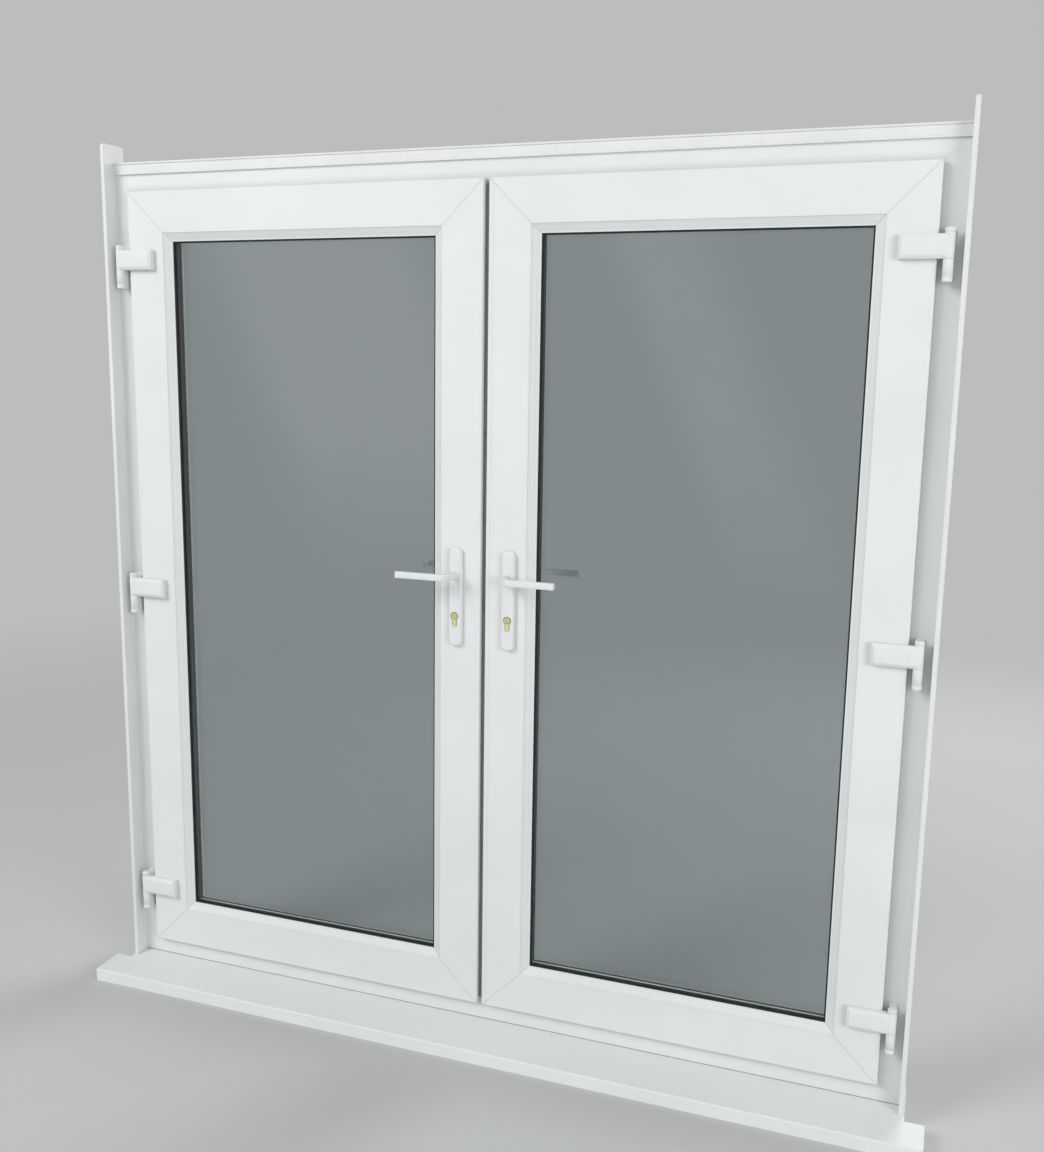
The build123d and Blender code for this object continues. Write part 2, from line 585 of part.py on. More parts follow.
    with BuildPart() as levers:
        for face_y, out in ((-leaf_proud - plate_thick, -1), (leaf_back + plate_thick, 1)):
            lever_bar(s, face_y, out)
            y0, y1 = sorted((face_y - out * (plate_thick - 1.0), face_y + out * 4.0))
            bar_y(s * lock_x, lock_z, neck_radius, y0, y1)
            y0, y1 = sorted((face_y, face_y + out * 4.0))
            bar_y(s * lock_x, lock_z, neck_radius + 2.0, y0, y1)
            half = spindle_size / 2 + 0.05
            y0, y1 = sorted((face_y - out * plate_thick, face_y + out * 6.0))
            block(s * lock_x - half, s * lock_x + half, y0, y1, lock_z - half, lock_z + half, mode=Mode.SUBTRACT)
    levers.part.label = leaf + "_levers"
    export_step(levers.part, "parts/" + leaf + "_levers.step")

    # Square spindle and the round follower that it turns in the gearbox
    with BuildPart() as spindle:
        half = spindle_size / 2
        block(s * lock_x - half, s * lock_x + half, -leaf_proud - plate_thick - 6.0, leaf_back + plate_thick + 6.0,
              lock_z - half, lock_z + half)
        bar_y(s * lock_x, lock_z, follower_radius, groove_mid - gearbox_thick / 2, groove_mid + gearbox_thick / 2)
    spindle.part.label = leaf + "_spindle"
    export_step(spindle.part, "parts/" + leaf + "_spindle.step")

    with BuildPart() as gearbox:
        block(s * (leaf_inner_x + groove_floor), s * (leaf_inner_x + groove_floor + gearbox_reach),
              groove_mid - gearbox_thick / 2, groove_mid + gearbox_thick / 2, gearbox_low, gearbox_high)
        bar_y(s * lock_x, lock_z, follower_radius + running_clearance, 0, 2 * groove_mid, mode=Mode.SUBTRACT)
        euro_shape(s * lock_x, 0.3, 0, 2 * groove_mid, mode=Mode.SUBTRACT)
        for z0, z1 in ((gearbox_low - 1, gearbox_low + gearbox_guide),
                       (gearbox_high - gearbox_guide, gearbox_high + 1)):
            bar_z(s * bolt_x, groove_mid, bolt_radius + running_clearance, z0, z1, mode=Mode.SUBTRACT)
    gearbox.part.label = leaf + "_gearbox"
    export_step(gearbox.part, "parts/" + leaf + "_gearbox.step")

    with BuildPart() as cylinder:
        ends = (-leaf_proud - plate_thick - 1.0, leaf_back + plate_thick + 1.0)
        euro_shape(s * lock_x, 0.0, ends[0], ends[1])
        for y0, y1 in ((ends[0], ends[0] + 0.6), (ends[1] - 0.6, ends[1])):
            with BuildSketch(front_plane(y0)):
                with Locations((s * lock_x, cylinder_z)):
                    Circle(7.0)
                    Circle(6.4, mode=Mode.SUBTRACT)
            extrude(amount=-(y1 - y0), mode=Mode.SUBTRACT)
        for y0, y1 in ((ends[0] - 1, ends[0] + 12.0), (ends[1] - 12.0, ends[1] + 1)):
            block(s * lock_x - 0.8, s * lock_x + 0.8, y0, y1, cylinder_z - 4.5, cylinder_z + 3.5, mode=Mode.SUBTRACT)
    cylinder.part.label = leaf + "_cylinder"
    export_step(cylinder.part, "parts/" + leaf + "_cylinder.step")

    with BuildPart() as plate_screws:
        for z in screw_zs:
            bar_y(s * lock_x, z, screw_radius, -leaf_proud - plate_thick + 3.5, leaf_back + plate_thick - 3.0)
            bar_y(s * lock_x, z, 4.5, leaf_back + plate_thick - 3.0, leaf_back + plate_thick - 0.4)
            block(s * lock_x - 0.6, s * lock_x + 0.6, leaf_back + plate_thick - 1.6, leaf_back + plate_thick, z - 3.4,
                  z + 3.4, mode=Mode.SUBTRACT)
    plate_screws.part.label = leaf + "_plate_screws"
    export_step(plate_screws.part, "parts/" + leaf + "_plate_screws.step")

    with BuildPart() as faceplate:
        block(s * (leaf_inner_x + flange_width), s * (leaf_inner_x + groove_floor), groove_low, groove_high,
              leaf_bottom + faceplate_short, leaf_top - faceplate_short)
        fillet(faceplate.edges().filter_by(Axis.X), radius=6.0)
    faceplate.part.label = leaf + "_faceplate"
    export_step(faceplate.part, "parts/" + leaf + "_faceplate.step")

    with BuildPart() as shoot_bolt_top:
        bar_z(s * bolt_x, groove_mid, bolt_radius, gearbox_high - bolt_overlap, leaf_top - bolt_tip)
        chamfer(shoot_bolt_top.edges().group_by(Axis.Z)[-1], length=1.0)
    shoot_bolt_top.part.label = leaf + "_shoot_bolt_top"
    export_step(shoot_bolt_top.part, "parts/" + leaf + "_shoot_bolt_top.step")

    with BuildPart() as shoot_bolt_bottom:
        bar_z(s * bolt_x, groove_mid, bolt_radius, leaf_bottom + bolt_tip, gearbox_low + bolt_overlap)
        chamfer(shoot_bolt_bottom.edges().group_by(Axis.Z)[0], length=1.0)
    shoot_bolt_bottom.part.label = leaf + "_shoot_bolt_bottom"
    export_step(shoot_bolt_bottom.part, "parts/" + leaf + "_shoot_bolt_bottom.step")

# Floating mullion on the right leaf's edge, cut back so that either leaf can swing by itself
mullion_x = -1.5
mullion_bottom = frame_bottom + frame_face + upstand_reach + 2.0
mullion_top = frame_top - frame_face - upstand_reach - 2.0
mullion_side = leaf_inner_x + flange_width
with BuildPart() as mullion:
    with BuildSketch(Plane.XY.offset(mullion_bottom)):
        with BuildLine():
            Polyline((mullion_x, 0), (mullion_side, 0), (mullion_side, leaf_back), (mullion_side + 8.0, leaf_back),
                     (mullion_side + 8.0, leaf_back + 6.0), (mullion_x, leaf_back + 6.0), close=True)
        make_face()
        for y0, y1 in ((wall, 23.5), (26.5, leaf_back + 3.0)):
            with Locations(((mullion_x + mullion_side) / 2, (y0 + y1) / 2)):
                Rectangle(mullion_side - mullion_x - 2 * wall, y1 - y0, mode=Mode.SUBTRACT)
    extrude(amount=mullion_top - mullion_bottom)
mullion.part.label = "mullion"
export_step(mullion.part, "parts/mullion.step")

with BuildPart() as mullion_caps:
    for z0, z1 in ((mullion_bottom - 5.0, mullion_bottom), (mullion_top, mullion_top + 5.0)):
        block(mullion_x, mullion_side, 0, leaf_back - 1.0, z0, z1)
mullion_caps.part.label = "mullion_caps"
export_step(mullion_caps.part, "parts/mullion_caps.step")

with BuildPart() as meeting_seal:
    block(-leaf_inner_x + 0.8, leaf_inner_x, -8.0, 0, leaf_bottom + 12.0, leaf_top - 12.0)
meeting_seal.part.label = "meeting_seal"
export_step(meeting_seal.part, "parts/meeting_seal.step")
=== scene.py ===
import json
import math

import bmesh
import bpy
from bpy.props import FloatProperty, FloatVectorProperty, IntProperty, PointerProperty
from mathutils import Matrix, Vector


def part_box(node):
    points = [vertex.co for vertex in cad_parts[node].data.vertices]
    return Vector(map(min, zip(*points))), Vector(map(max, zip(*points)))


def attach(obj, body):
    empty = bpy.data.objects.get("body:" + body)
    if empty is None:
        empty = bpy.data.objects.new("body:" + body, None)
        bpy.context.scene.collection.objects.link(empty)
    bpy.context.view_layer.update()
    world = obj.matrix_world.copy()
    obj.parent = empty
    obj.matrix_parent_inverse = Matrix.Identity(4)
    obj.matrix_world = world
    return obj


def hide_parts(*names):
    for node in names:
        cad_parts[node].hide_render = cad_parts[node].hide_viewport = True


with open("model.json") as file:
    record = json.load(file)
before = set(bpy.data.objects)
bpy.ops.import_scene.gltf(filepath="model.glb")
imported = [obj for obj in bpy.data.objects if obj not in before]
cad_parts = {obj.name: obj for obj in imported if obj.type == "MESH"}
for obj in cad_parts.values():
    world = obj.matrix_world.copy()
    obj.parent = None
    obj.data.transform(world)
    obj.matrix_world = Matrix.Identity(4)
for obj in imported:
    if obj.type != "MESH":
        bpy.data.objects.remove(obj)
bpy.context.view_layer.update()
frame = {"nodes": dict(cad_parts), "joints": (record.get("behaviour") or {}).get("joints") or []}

bl_info = {
    "name": "Glazed double doorset",
    "version": (1, 0, 0),
    "blender": (4, 5, 0),
    "location": "View3D > Sidebar > Doorset",
    "description": "Fine pieces, finishes and studio for a white glazed double doorset",
    "category": "Object",
}

LEAVES = (("left", -1.0), ("right", 1.0))
FACES = (("outside", -1.0), ("inside", 1.0))

# Linear colours of dust, wear and small marks, and of painted shade and a painted highlight, mixed over
# the finishes
PROFILE_DUST = (0.46, 0.42, 0.34)
WELD_GREY = (0.26, 0.27, 0.27)
STEP_PAINTED_SHADE = (0.30, 0.31, 0.32)
HOLLOW_PAINTED_SHADE = (0.42, 0.42, 0.40)
JOINT_GREY = (0.10, 0.10, 0.105)
CILL_DUST = (0.50, 0.46, 0.38)
CILL_SPECKS = (0.33, 0.30, 0.25)
BOARD_STREAK = (0.42, 0.38, 0.28)
BOARD_SAWN = (0.50, 0.46, 0.36)
COAT_RUBBED = (0.50, 0.48, 0.43)
COAT_DUST = (0.48, 0.44, 0.36)
RUBBER_BLOOM = (0.085, 0.083, 0.080)
VENT_BLACK = (0.004, 0.004, 0.005)
SPACER_WORN = (0.05, 0.05, 0.055)
SPACER_HIGHLIGHT = (0.85, 0.87, 0.88)
PANE_FILM = (0.70, 0.72, 0.70)
PANE_SHADOW = (0.97, 0.98, 0.975)
BRASS_TARNISH = (0.55, 0.46, 0.20)
BRASS_PAINTED_SHADE = (0.035, 0.030, 0.020)

# Colours of the even light and of the bands that the panes mirror
DAYLIGHT = (0.96, 0.98, 1.0)
WHITE = (1.0, 1.0, 1.0)

# Fine painted shade lines, each on a shallow groove, along a leaf's lengths: distance from the glazing
# edge, darkness and width
LEAF_STEPS = (
    (0.0190, 0.22, 0.0010),
    (0.0150, 0.10, 0.0009),
    (0.0075, 0.14, 0.0008),
    (0.0030, 0.10, 0.0008),
)
# Upright painted shade lines, each on a shallow groove, on the right leaf by their distance from its
# meeting edge, their darkness and width
MEETING_LINES = (0.0085, 0.0115)
MEETING_DEPTH = 0.16
MEETING_WIDTH = 0.0011
# Depths between which a mark on the outer faces fades away
FRONT_FADE = (0.004, 0.008)
# From the spacer's room side to the painted highlight on it
HIGHLIGHT_INSET = 0.0030
# Radius of the painted shade line around the cylinder's plug
PLUG_RADIUS = 0.0066

# Points around a turned shape
ROUND = 48
# How far the lever's neck, and the collar and lip of a plate, start below the plate's face
LEVER_ROOT = 0.003
COLLAR_ROOT = 0.001
# Share of the change from round neck to bar that is done where the bend starts
NECK_FORM = 0.35
# Rounding of the bar's free end: scale of the section, and how far out it lies
BAR_END = ((1.0, 0.0), (0.985, 0.0008), (0.93, 0.0013), (0.80, 0.0016))
# Share of the plate's depth that stays square, and the flat width inside its soft edge
SQUARE_SHARE = 0.35
EDGE_FLAT = 0.0005
# Half of the gap between the two knuckles of a hinge
SEAM_GAP = 0.0002
# Half the width of the knuckle's groove, at its top and at its bottom
GROOVE_HALF = (0.0007, 0.0003)
# Rounding at the knuckle's free end, and at the end that meets the other knuckle
SOFT_END = 0.0012 * 1.6
SHARP_END = 0.0004
# From the axis to the start of the flag, and how far its bevel falls for its width
FLAG_START = 0.002
BEVEL_FALL = 0.62
# Thickness of the bracket on the frame, the inset of its top and of the neck's back, and how much
# shorter than the knuckle the neck is at each end
BRACKET_DEPTH = 0.004
BRACKET_INSET = 0.002
NECK_INSET = 0.0004

# Name, setting for its power, place, aim and size of each lamp
LAMPS = (
    ("key_lamp", "key", (-2.9, -3.9, 3.9), (0.0, 0.0, 0.9), 2.8),
    ("fill_lamp", "fill", (3.9, -3.0, 1.9), (0.1, 0.0, 1.0), 2.6),
    ("rear_lamp", "rear", (1.8, 4.2, 3.3), (0.0, 0.0, 1.0), 2.8),
)
FLOOR_RADIUS = 40.0
# Floor fades into the backdrop between these distances from the doorset
FLOOR_FADE = (1.6, 5.5)
# Corners of each card as x and height, its distance from the doorset, and the lean of its bands
CARD_CORNERS = ((-5.0, 0.05), (2.2, 0.05), (2.2, 4.6), (-5.0, 4.6))
CARD_DISTANCE = 4.2
CARD_LEAN = 0.42


def number(name, description, default, **limits):
    """A setting of one number, with whatever limits and unit it needs."""
    return FloatProperty(name=name, description=description, default=default, **limits)


def length(name, description, default):
    """A distance that the sidebar shows in the scene's units."""
    return number(name, description, default, min=0.0, max=3.0, precision=5,
                  subtype="DISTANCE", unit="LENGTH")


def share(name, description, default):
    """A plain number from 0 to 1."""
    return number(name, description, default, min=0.0, max=1.0, subtype="FACTOR")


def angle(name, description, default):
    """A turn, shown in degrees."""
    return number(name, description, default, subtype="ANGLE", unit="ROTATION")


def power(name, description, default):
    """The power of a lamp."""
    return number(name, description, default, min=0.0, unit="POWER")


def colour(name, description, default):
    """A linear colour with its own swatch."""
    return FloatVectorProperty(name=name, description=description, default=default, size=3,
                               min=0.0, max=1.0, subtype="COLOR")


class LeverSizes(bpy.types.PropertyGroup):
    """Lever handle on each face of a leaf"""

    reach: length("Reach", "From the spindle to the lever's free end", 0.121)
    standoff: length("Standoff", "From the plate to the middle of the lever bar", 0.046)
    bend_radius: length("Bend radius", "Radius of the turn from neck to bar", 0.0240)
    neck_radius: length("Neck radius", "Radius of the round neck in the plate", 0.0085)
    bar_depth: length("Bar depth", "Thickness of the bar, front to back", 0.0120)
    bar_height: length("Bar height", "Height of the bar", 0.0150)
    squareness: number("Squareness", "Corner form of the bar, 2 is an ellipse", 5.0, min=2.0, max=12.0)
    points: IntProperty(name="Points", description="Points around the bar", default=40, min=12, max=96)


class PlateSizes(bpy.types.PropertyGroup):
    """Handle plate on each face of a leaf"""

    corner_radius: length("Corner radius", "Radius of the plate's four corners", 0.0125)
    edge_width: length("Edge width", "Width of the soft edge around the plate", 0.0055)
    collar_radius: length("Collar radius", "Radius of the raised collar at the lever's neck", 0.0120)
    collar_height: length("Collar height", "Height of the collar above the plate", 0.0022)
    lip_width: length("Lip width", "Width of the raised lip around the cylinder", 0.0022)
    lip_height: length("Lip height", "Height of that lip above the plate", 0.0007)
    cylinder_radius: length("Cylinder radius", "Radius of the cylinder's round end", 0.0085)
    tail_radius: length("Tail radius", "Half the width of the cylinder's tail", 0.0050)
    cylinder_height: length("Cylinder height", "Overall height of the cylinder's shape", 0.0330)


class HingeSizes(bpy.types.PropertyGroup):
    """Flag hinges, three to a leaf"""

    tops: FloatVectorProperty(name="Tops", description="Height of the top of each knuckle", size=3,
                              default=(0.260, 1.033, 1.807), subtype="XYZ_LENGTH", unit="LENGTH")
    height: length("Height", "Upper and lower knuckle together", 0.098)
    seam: length("Seam", "From the knuckle's top to the seam between its halves", 0.056)
    cap: length("Cap", "Height of the cap at each end of the knuckle", 0.009)
    knuckle_radius: length("Knuckle radius", "Outer radius of the knuckle", 0.0095)
    flag_length: length("Flag length", "From the hinge's axis to the flag's free end", 0.090)
    flag_height: length("Flag height", "Height of the flag", 0.045)
    flag_drop: length("Flag drop", "From the knuckle's top down to the flag's top", 0.011)
    flag_depth: length("Flag depth", "How far the flag stands off the leaf's face", 0.017)
    flag_bevel: length("Flag bevel", "Width of the sloping edge around the flag", 0.0070)
    flag_rounding: length("Flag rounding", "Width of the rounding on the flag's edges", 0.0011)
    neck: length("Neck", "Half the width of the neck between lower knuckle and frame", 0.0086)
    neck_rounding: length("Neck rounding", "Width of the rounding on the neck's edges", 0.0009)
    groove: length("Groove", "Depth of the seams on the knuckle", 0.0006)


class FinishColours(bpy.types.PropertyGroup):
    """Colours and surface detail"""

    profile: colour("Profile", "Satin white plastic of the profiles", (0.800, 0.822, 0.820))
    cill: colour("Cill", "White plastic of the cill", (0.835, 0.860, 0.862))
    board: colour("Boards", "Matt foamed plastic of the boards and head trim", (0.795, 0.810, 0.800))
    coating: colour("Coating", "White powder coat on the hinges and handles", (0.800, 0.822, 0.826))
    rubber: colour("Rubber", "Black gaskets", (0.018, 0.018, 0.020))
    seal: colour("Seal", "Grey seal between the leaves", (0.230, 0.236, 0.230))
    spacer: colour("Spacer", "Black bar between the panes", (0.020, 0.020, 0.023))
    glass: colour("Glass", "Tint of one pane", (0.640, 0.682, 0.680))
    brass: colour("Brass", "Pale brass of the cylinders", (0.870, 0.865, 0.385))
    steel: colour("Steel", "Zinc plated and galvanised steel", (0.560, 0.570, 0.580))
    weld_width: length("Weld width", "Width of the cleaned weld at each mitre", 0.0026)
    weld_depth: share("Weld darkness", "How much darker the weld's groove is", 0.30)
    grain: share("Grain", "Strength of the fine lines along the profiles", 0.35)
    dust: share("Dust", "Strength of the dust on ledges and low down", 0.30)


class StudioSettings(bpy.types.PropertyGroup):
    """Floor, light and camera"""

    floor: colour("Floor", "Colour of the floor", (0.560, 0.564, 0.570))
    backdrop: colour("Backdrop", "Colour behind the doorset", (0.500, 0.506, 0.514))
    ambient: number("Ambient", "Strength of the even light", 0.43, min=0.0, max=3.0)
    key: power("Key", "Power of the main lamp", 152.0)
    fill: power("Fill", "Power of the lamp on the other side", 85.0)
    rear: power("Rear", "Power of the lamp on the room side", 120.0)
    sheen: FloatVectorProperty(name="Sheen", size=2, default=(1.15, 1.0), min=0.0, max=20.0,
                               description="Brightness of what the panes mirror, outside and inside")
    lens: number("Lens", "Focal length of the camera", 37.53, min=10.0, unit="CAMERA")
    eye: FloatVectorProperty(name="Eye", description="Place of the camera", size=3,
                             default=(0.9527, -2.4240, 1.5504), subtype="XYZ_LENGTH", unit="LENGTH")
    turn: angle("Turn", "Camera's turn to the left", 0.3442)
    tilt: angle("Tilt", "Camera's tilt downwards", 0.1752)
    roll: angle("Roll", "Camera's roll", 0.0150)


class Wire:
    """A shader socket; arithmetic on it adds Math nodes."""

    def __init__(self, finish, socket):
        self.finish = finish
        self.socket = socket

    def math(self, operation, *values):
        inputs = dict(enumerate(values))
        return self.finish.node("ShaderNodeMath", {"operation": operation}, inputs)["Value"]

    def __add__(self, other):
        return self.math("ADD", self, other)

    def __radd__(self, other):
        return self.math("ADD", other, self)

    def __sub__(self, other):
        return self.math("SUBTRACT", self, other)

    def __rsub__(self, other):
        return self.math("SUBTRACT", other, self)

    def __mul__(self, other):
        return self.math("MULTIPLY", self, other)

    def __rmul__(self, other):
        return self.math("MULTIPLY", other, self)

    def __truediv__(self, other):
        return self.math("DIVIDE", self, other)

    def __rtruediv__(self, other):
        return self.math("DIVIDE", other, self)

    def __abs__(self):
        return self.math("ABSOLUTE", self)

    def least(self, other):
        return self.math("MINIMUM", self, other)

    def most(self, other):
        return self.math("MAXIMUM", self, other)

    def below(self, other):
        return self.math("LESS_THAN", self, other)

    def root(self):
        return self.math("SQRT", self)

    def saw(self, pitch):
        """Ridges, 0 to 1 to 0 over twice the pitch."""
        return self.math("PINGPONG", self, pitch) / pitch


class Finish:
    """The nodes of a new material, or of a new world, built one by one."""

    def __init__(self, name, world=False):
        self.owner = bpy.data.worlds.new(name) if world else bpy.data.materials.new(name)
        self.output = "ShaderNodeOutputWorld" if world else "ShaderNodeOutputMaterial"
        self.owner.use_nodes = True
        self.tree = self.owner.node_tree
        self.tree.nodes.clear()

    def node(self, kind, settings=None, inputs=None):
        """Add a node, set its settings and then its sockets, and return its outputs as wires."""
        node = self.tree.nodes.new(kind)
        for key, value in (settings or {}).items():
            setattr(node, key, value)
        for key, value in (inputs or {}).items():
            socket = node.inputs[key] if isinstance(key, int) else self.enabled(node.inputs, key)
            if isinstance(value, Wire):
                self.tree.links.new(value.socket, socket)
            elif socket.type == "RGBA":
                socket.default_value = (*value, 1.0)
            else:
                socket.default_value = value
        return {socket.name: Wire(self, socket) for socket in node.outputs if socket.enabled}

    @staticmethod
    def enabled(sockets, name):
        """The first socket of a name that the node's settings leave in use."""
        for socket in sockets:
            if socket.enabled and socket.name == name:
                return socket
        raise KeyError(name)

    def position(self):
        """Position in the doorset's own frame, as one vector."""
        return self.node("ShaderNodeTexCoord")["Object"]

    def place(self):
        """Position in the doorset's own frame, as one vector and as x, y and z."""
        position = self.position()
        split = self.node("ShaderNodeSeparateXYZ", inputs={"Vector": position})
        return position, split["X"], split["Y"], split["Z"]

    def vector(self, x, y, z):
        return self.node("ShaderNodeCombineXYZ", inputs={"X": x, "Y": y, "Z": z})["Vector"]

    def noise(self, position, scale, detail, roughness):
        return self.node("ShaderNodeTexNoise", {"noise_dimensions": "3D"}, {
            "Vector": position, "Scale": scale, "Detail": detail, "Roughness": roughness})["Fac"]

    def fade(self, value, start, end, low=0.0, high=1.0):
        """Smooth step from low at start to high at end."""
        return self.node("ShaderNodeMapRange", {"interpolation_type": "SMOOTHSTEP"}, {
            "Value": value, "From Min": start, "From Max": end, "To Min": low, "To Max": high})["Result"]

    def cells(self, position, scale, result):
        """Random cells, read as the distance to their middles or as a colour each."""
        return self.node("ShaderNodeTexVoronoi", {"feature": "F1"}, {
            "Vector": position, "Scale": scale})[result]

    def line(self, away, width):
        """1 on a line, fading to 0 at its width."""
        return self.fade(away, 0.0, width, 1.0, 0.0)

    def mix(self, factor, a, b):
        return self.node("ShaderNodeMix", {"data_type": "RGBA"}, {
            "Factor": factor, "A": a, "B": b})["Result"]

    def tinted(self, cloud, base, dark, light):
        """The base colour, drifting with a noise between two tones of itself."""
        return self.mix(self.fade(cloud, 0.3, 0.7), tone(base, dark), tone(base, light))

    def glow(self, value, strength):
        return self.node("ShaderNodeEmission", inputs={
            "Color": value, "Strength": strength})["Emission"]

    def background(self, value, strength):
        return self.node("ShaderNodeBackground", inputs={
            "Color": value, "Strength": strength})["Background"]

    def either(self, factor, first, second):
        """One shader where the factor is 0 and the other where it is 1."""
        return self.node("ShaderNodeMixShader", inputs={0: factor, 1: first, 2: second})["Shader"]

    def seen(self):
        """1 for what camera, gloss and glass see, 0 for the light that falls on things."""
        ray = self.node("ShaderNodeLightPath")
        return ray["Is Camera Ray"].most(ray["Is Glossy Ray"]).most(ray["Is Transmission Ray"])

    def facing_up(self):
        """1 on ledges that look up, 0 on upright and hanging faces."""
        normal = self.node("ShaderNodeNewGeometry")["Normal"]
        upward = self.node("ShaderNodeSeparateXYZ", inputs={"Vector": normal})["Z"]
        return self.fade(upward, 0.35, 0.9)

    def bump(self, height, distance, strength):
        return self.node("ShaderNodeBump", inputs={
            "Strength": strength, "Distance": distance, "Height": height})["Normal"]

    def principled(self, **values):
        """A Principled shader; an underscore in a keyword stands for a space."""
        inputs = {key.replace("_", " "): value for key, value in values.items()}
        return self.node("ShaderNodeBsdfPrincipled", inputs=inputs)["BSDF"]

    def surface(self, shader):
        """Use a shader, and return the finished material or world."""
        self.node(self.output, inputs={"Surface": shader})
        return self.owner


def tone(value, amount):
    """A colour made darker or lighter by a plain factor."""
    return tuple(min(1.0, channel * amount) for channel in value)


def profile_finish(name, colours, low, high, lines=(), steps=(), weld_share=1.0, joint=None, hollow=None):
    """Extruded white plastic with lines along each length and a weld across each mitre.

    Low and high are the corners of the mitred outline. Lines are upright marks by x, and steps are
    marks that follow the outline by their distance from it; each is a shallow groove with painted shade
    in it. Joint is the height of the dark joint under the lowest face. Hollow is how far in from the
    outline the leaves' edges are; there the frame's face is painted with shade, as where less light gets
    in.
    """
    centre, half = middle(low, high)
    f = Finish(name)
    position, x, y, z = f.place()
    from_side = half[0] - abs(x - centre[0])
    from_end = half[1] - abs(z - centre[1])
    across = from_side.least(from_end)
    upright = from_side.below(from_end)
    along = z * upright + x * (1.0 - upright)
    weld = f.line(abs(from_side - from_end), colours.weld_width)
    cleaned = f.fade(abs(from_side - from_end), 0.002, 0.007, 1.0, 0.0)
    grain = f.noise(f.vector(across * 1400.0, y * 1400.0, along * 5.0), 1.0, 2.0, 0.6)
    cloud = f.noise(position, 3.2, 3.0, 0.55)
    low_down = f.fade(z, 0.05, 0.42, 1.0, 0.0)
    dust = (f.facing_up() * 0.75 + low_down * 0.22) * f.noise(position, 38.0, 4.0, 0.65) * colours.dust
    shade = f.tinted(cloud, colours.profile, 0.975, 1.02)
    shade = f.mix(dust, shade, PROFILE_DUST)
    shade = f.mix(weld * (colours.weld_depth * weld_share), shade, WELD_GREY)
    groove = weld * weld_share
    marks = [(abs(x - place), MEETING_DEPTH, MEETING_WIDTH) for place in lines]
    marks += [(abs(across - distance), depth, width) for distance, depth, width in steps]
    # Each mark darkens its line with painted shade and sinks a shallow groove there
    for away, depth, width in marks:
        mark = f.line(away, width)
        shade = f.mix(mark * depth, shade, STEP_PAINTED_SHADE)
        groove = groove + mark * 0.4
    front = f.fade(y, *FRONT_FADE, 1.0, 0.0)
    if hollow is not None:
        # Painted shade on the frame's face next to the leaves' edges
        deep = f.fade(across, hollow * 0.55, hollow) * f.fade(across, hollow, hollow + 0.002, 1.0, 0.0)
        shade = f.mix(deep * front * 0.30, shade, HOLLOW_PAINTED_SHADE)
    if joint is not None:
        seam = f.fade(z, joint + 0.0008, joint + 0.0022, 1.0, 0.0) * front
        shade = f.mix(seam * 0.85, shade, JOINT_GREY)
    height = grain * (0.10 * colours.grain) - groove
    roughness = 0.30 + f.fade(cloud, 0.3, 0.7) * 0.05 + cleaned * 0.07 + dust * 0.5
    return f.surface(f.principled(
        Base_Color=shade, Roughness=roughness, Specular_IOR_Level=0.5,
        Coat_Weight=0.10, Coat_Roughness=0.22, Normal=f.bump(height, 0.00022, 0.75)))


def cill_finish(name, base, colours):
    """Smooth extruded cill, with dust that gathers on its top."""
    f = Finish(name)
    position, x, y, z = f.place()
    lines = f.noise(f.vector(x * 4.0, y * 900.0, z * 900.0), 1.0, 2.0, 0.6)
    cloud = f.noise(position, 4.5, 3.0, 0.6)
    specks = f.fade(f.noise(position, 260.0, 2.0, 0.7), 0.63, 0.75)
    upward = f.facing_up()
    corner = f.fade(y, -0.030, -0.002)
    dust = upward * (f.fade(cloud, 0.35, 0.75) * 0.20 + corner * 0.28) * colours.dust
    shade = f.tinted(cloud, base, 0.98, 1.02)
    shade = f.mix(dust, shade, CILL_DUST)
    shade = f.mix(specks * upward * 0.25, shade, CILL_SPECKS)
    return f.surface(f.principled(
        Base_Color=shade, Roughness=0.29 + dust * 0.6 + f.fade(cloud, 0.3, 0.7) * 0.05, Coat_Weight=0.12,
        Coat_Roughness=0.2, Normal=f.bump(lines * 0.12 + specks * upward, 0.00018, 0.7)))


def board_finish(name, base, colours):
    """Matt foamed board, with a rougher open grain where it was sawn."""
    f = Finish(name)
    position, x, y, z = f.place()
    skin = f.noise(position, 900.0, 2.0, 0.6)
    cells = f.cells(position, 1300.0, "Distance")
    sawn = f.facing_up()
    cloud = f.noise(position, 5.0, 3.0, 0.6)
    streak = f.noise(f.vector(x * 60.0, y * 60.0, z * 1.5), 1.0, 3.0, 0.6)
    shade = f.tinted(cloud, base, 0.96, 1.02)
    shade = f.mix(f.fade(streak, 0.55, 0.8) * 0.12, shade, BOARD_STREAK)
    shade = f.mix(sawn * (0.10 + colours.dust * 0.4), shade, BOARD_SAWN)
    return f.surface(f.principled(
        Base_Color=shade, Roughness=0.46 + sawn * 0.3, Specular_IOR_Level=0.4,
        Normal=f.bump(skin * 0.15 + cells * sawn * 2.0, 0.00012, 0.35)))


def coating_finish(name, base, colours):
    """Powder coat with a fine orange peel."""
    f = Finish(name)
    position = f.position()
    peel = f.noise(position, 620.0, 2.0, 0.55)
    cloud = f.noise(position, 30.0, 3.0, 0.55)
    rubbed = f.fade(f.noise(position, 95.0, 4.0, 0.7), 0.60, 0.80)
    shade = f.tinted(cloud, base, 0.985, 1.015)
    shade = f.mix(rubbed * colours.dust * 0.12, shade, COAT_RUBBED)
    shade = f.mix(f.facing_up() * colours.dust * 0.35, shade, COAT_DUST)
    return f.surface(f.principled(
        Base_Color=shade, Roughness=0.27 + rubbed * 0.10, Coat_Weight=0.22, Coat_Roughness=0.15,
        Normal=f.bump(peel, 0.00010, 0.55)))


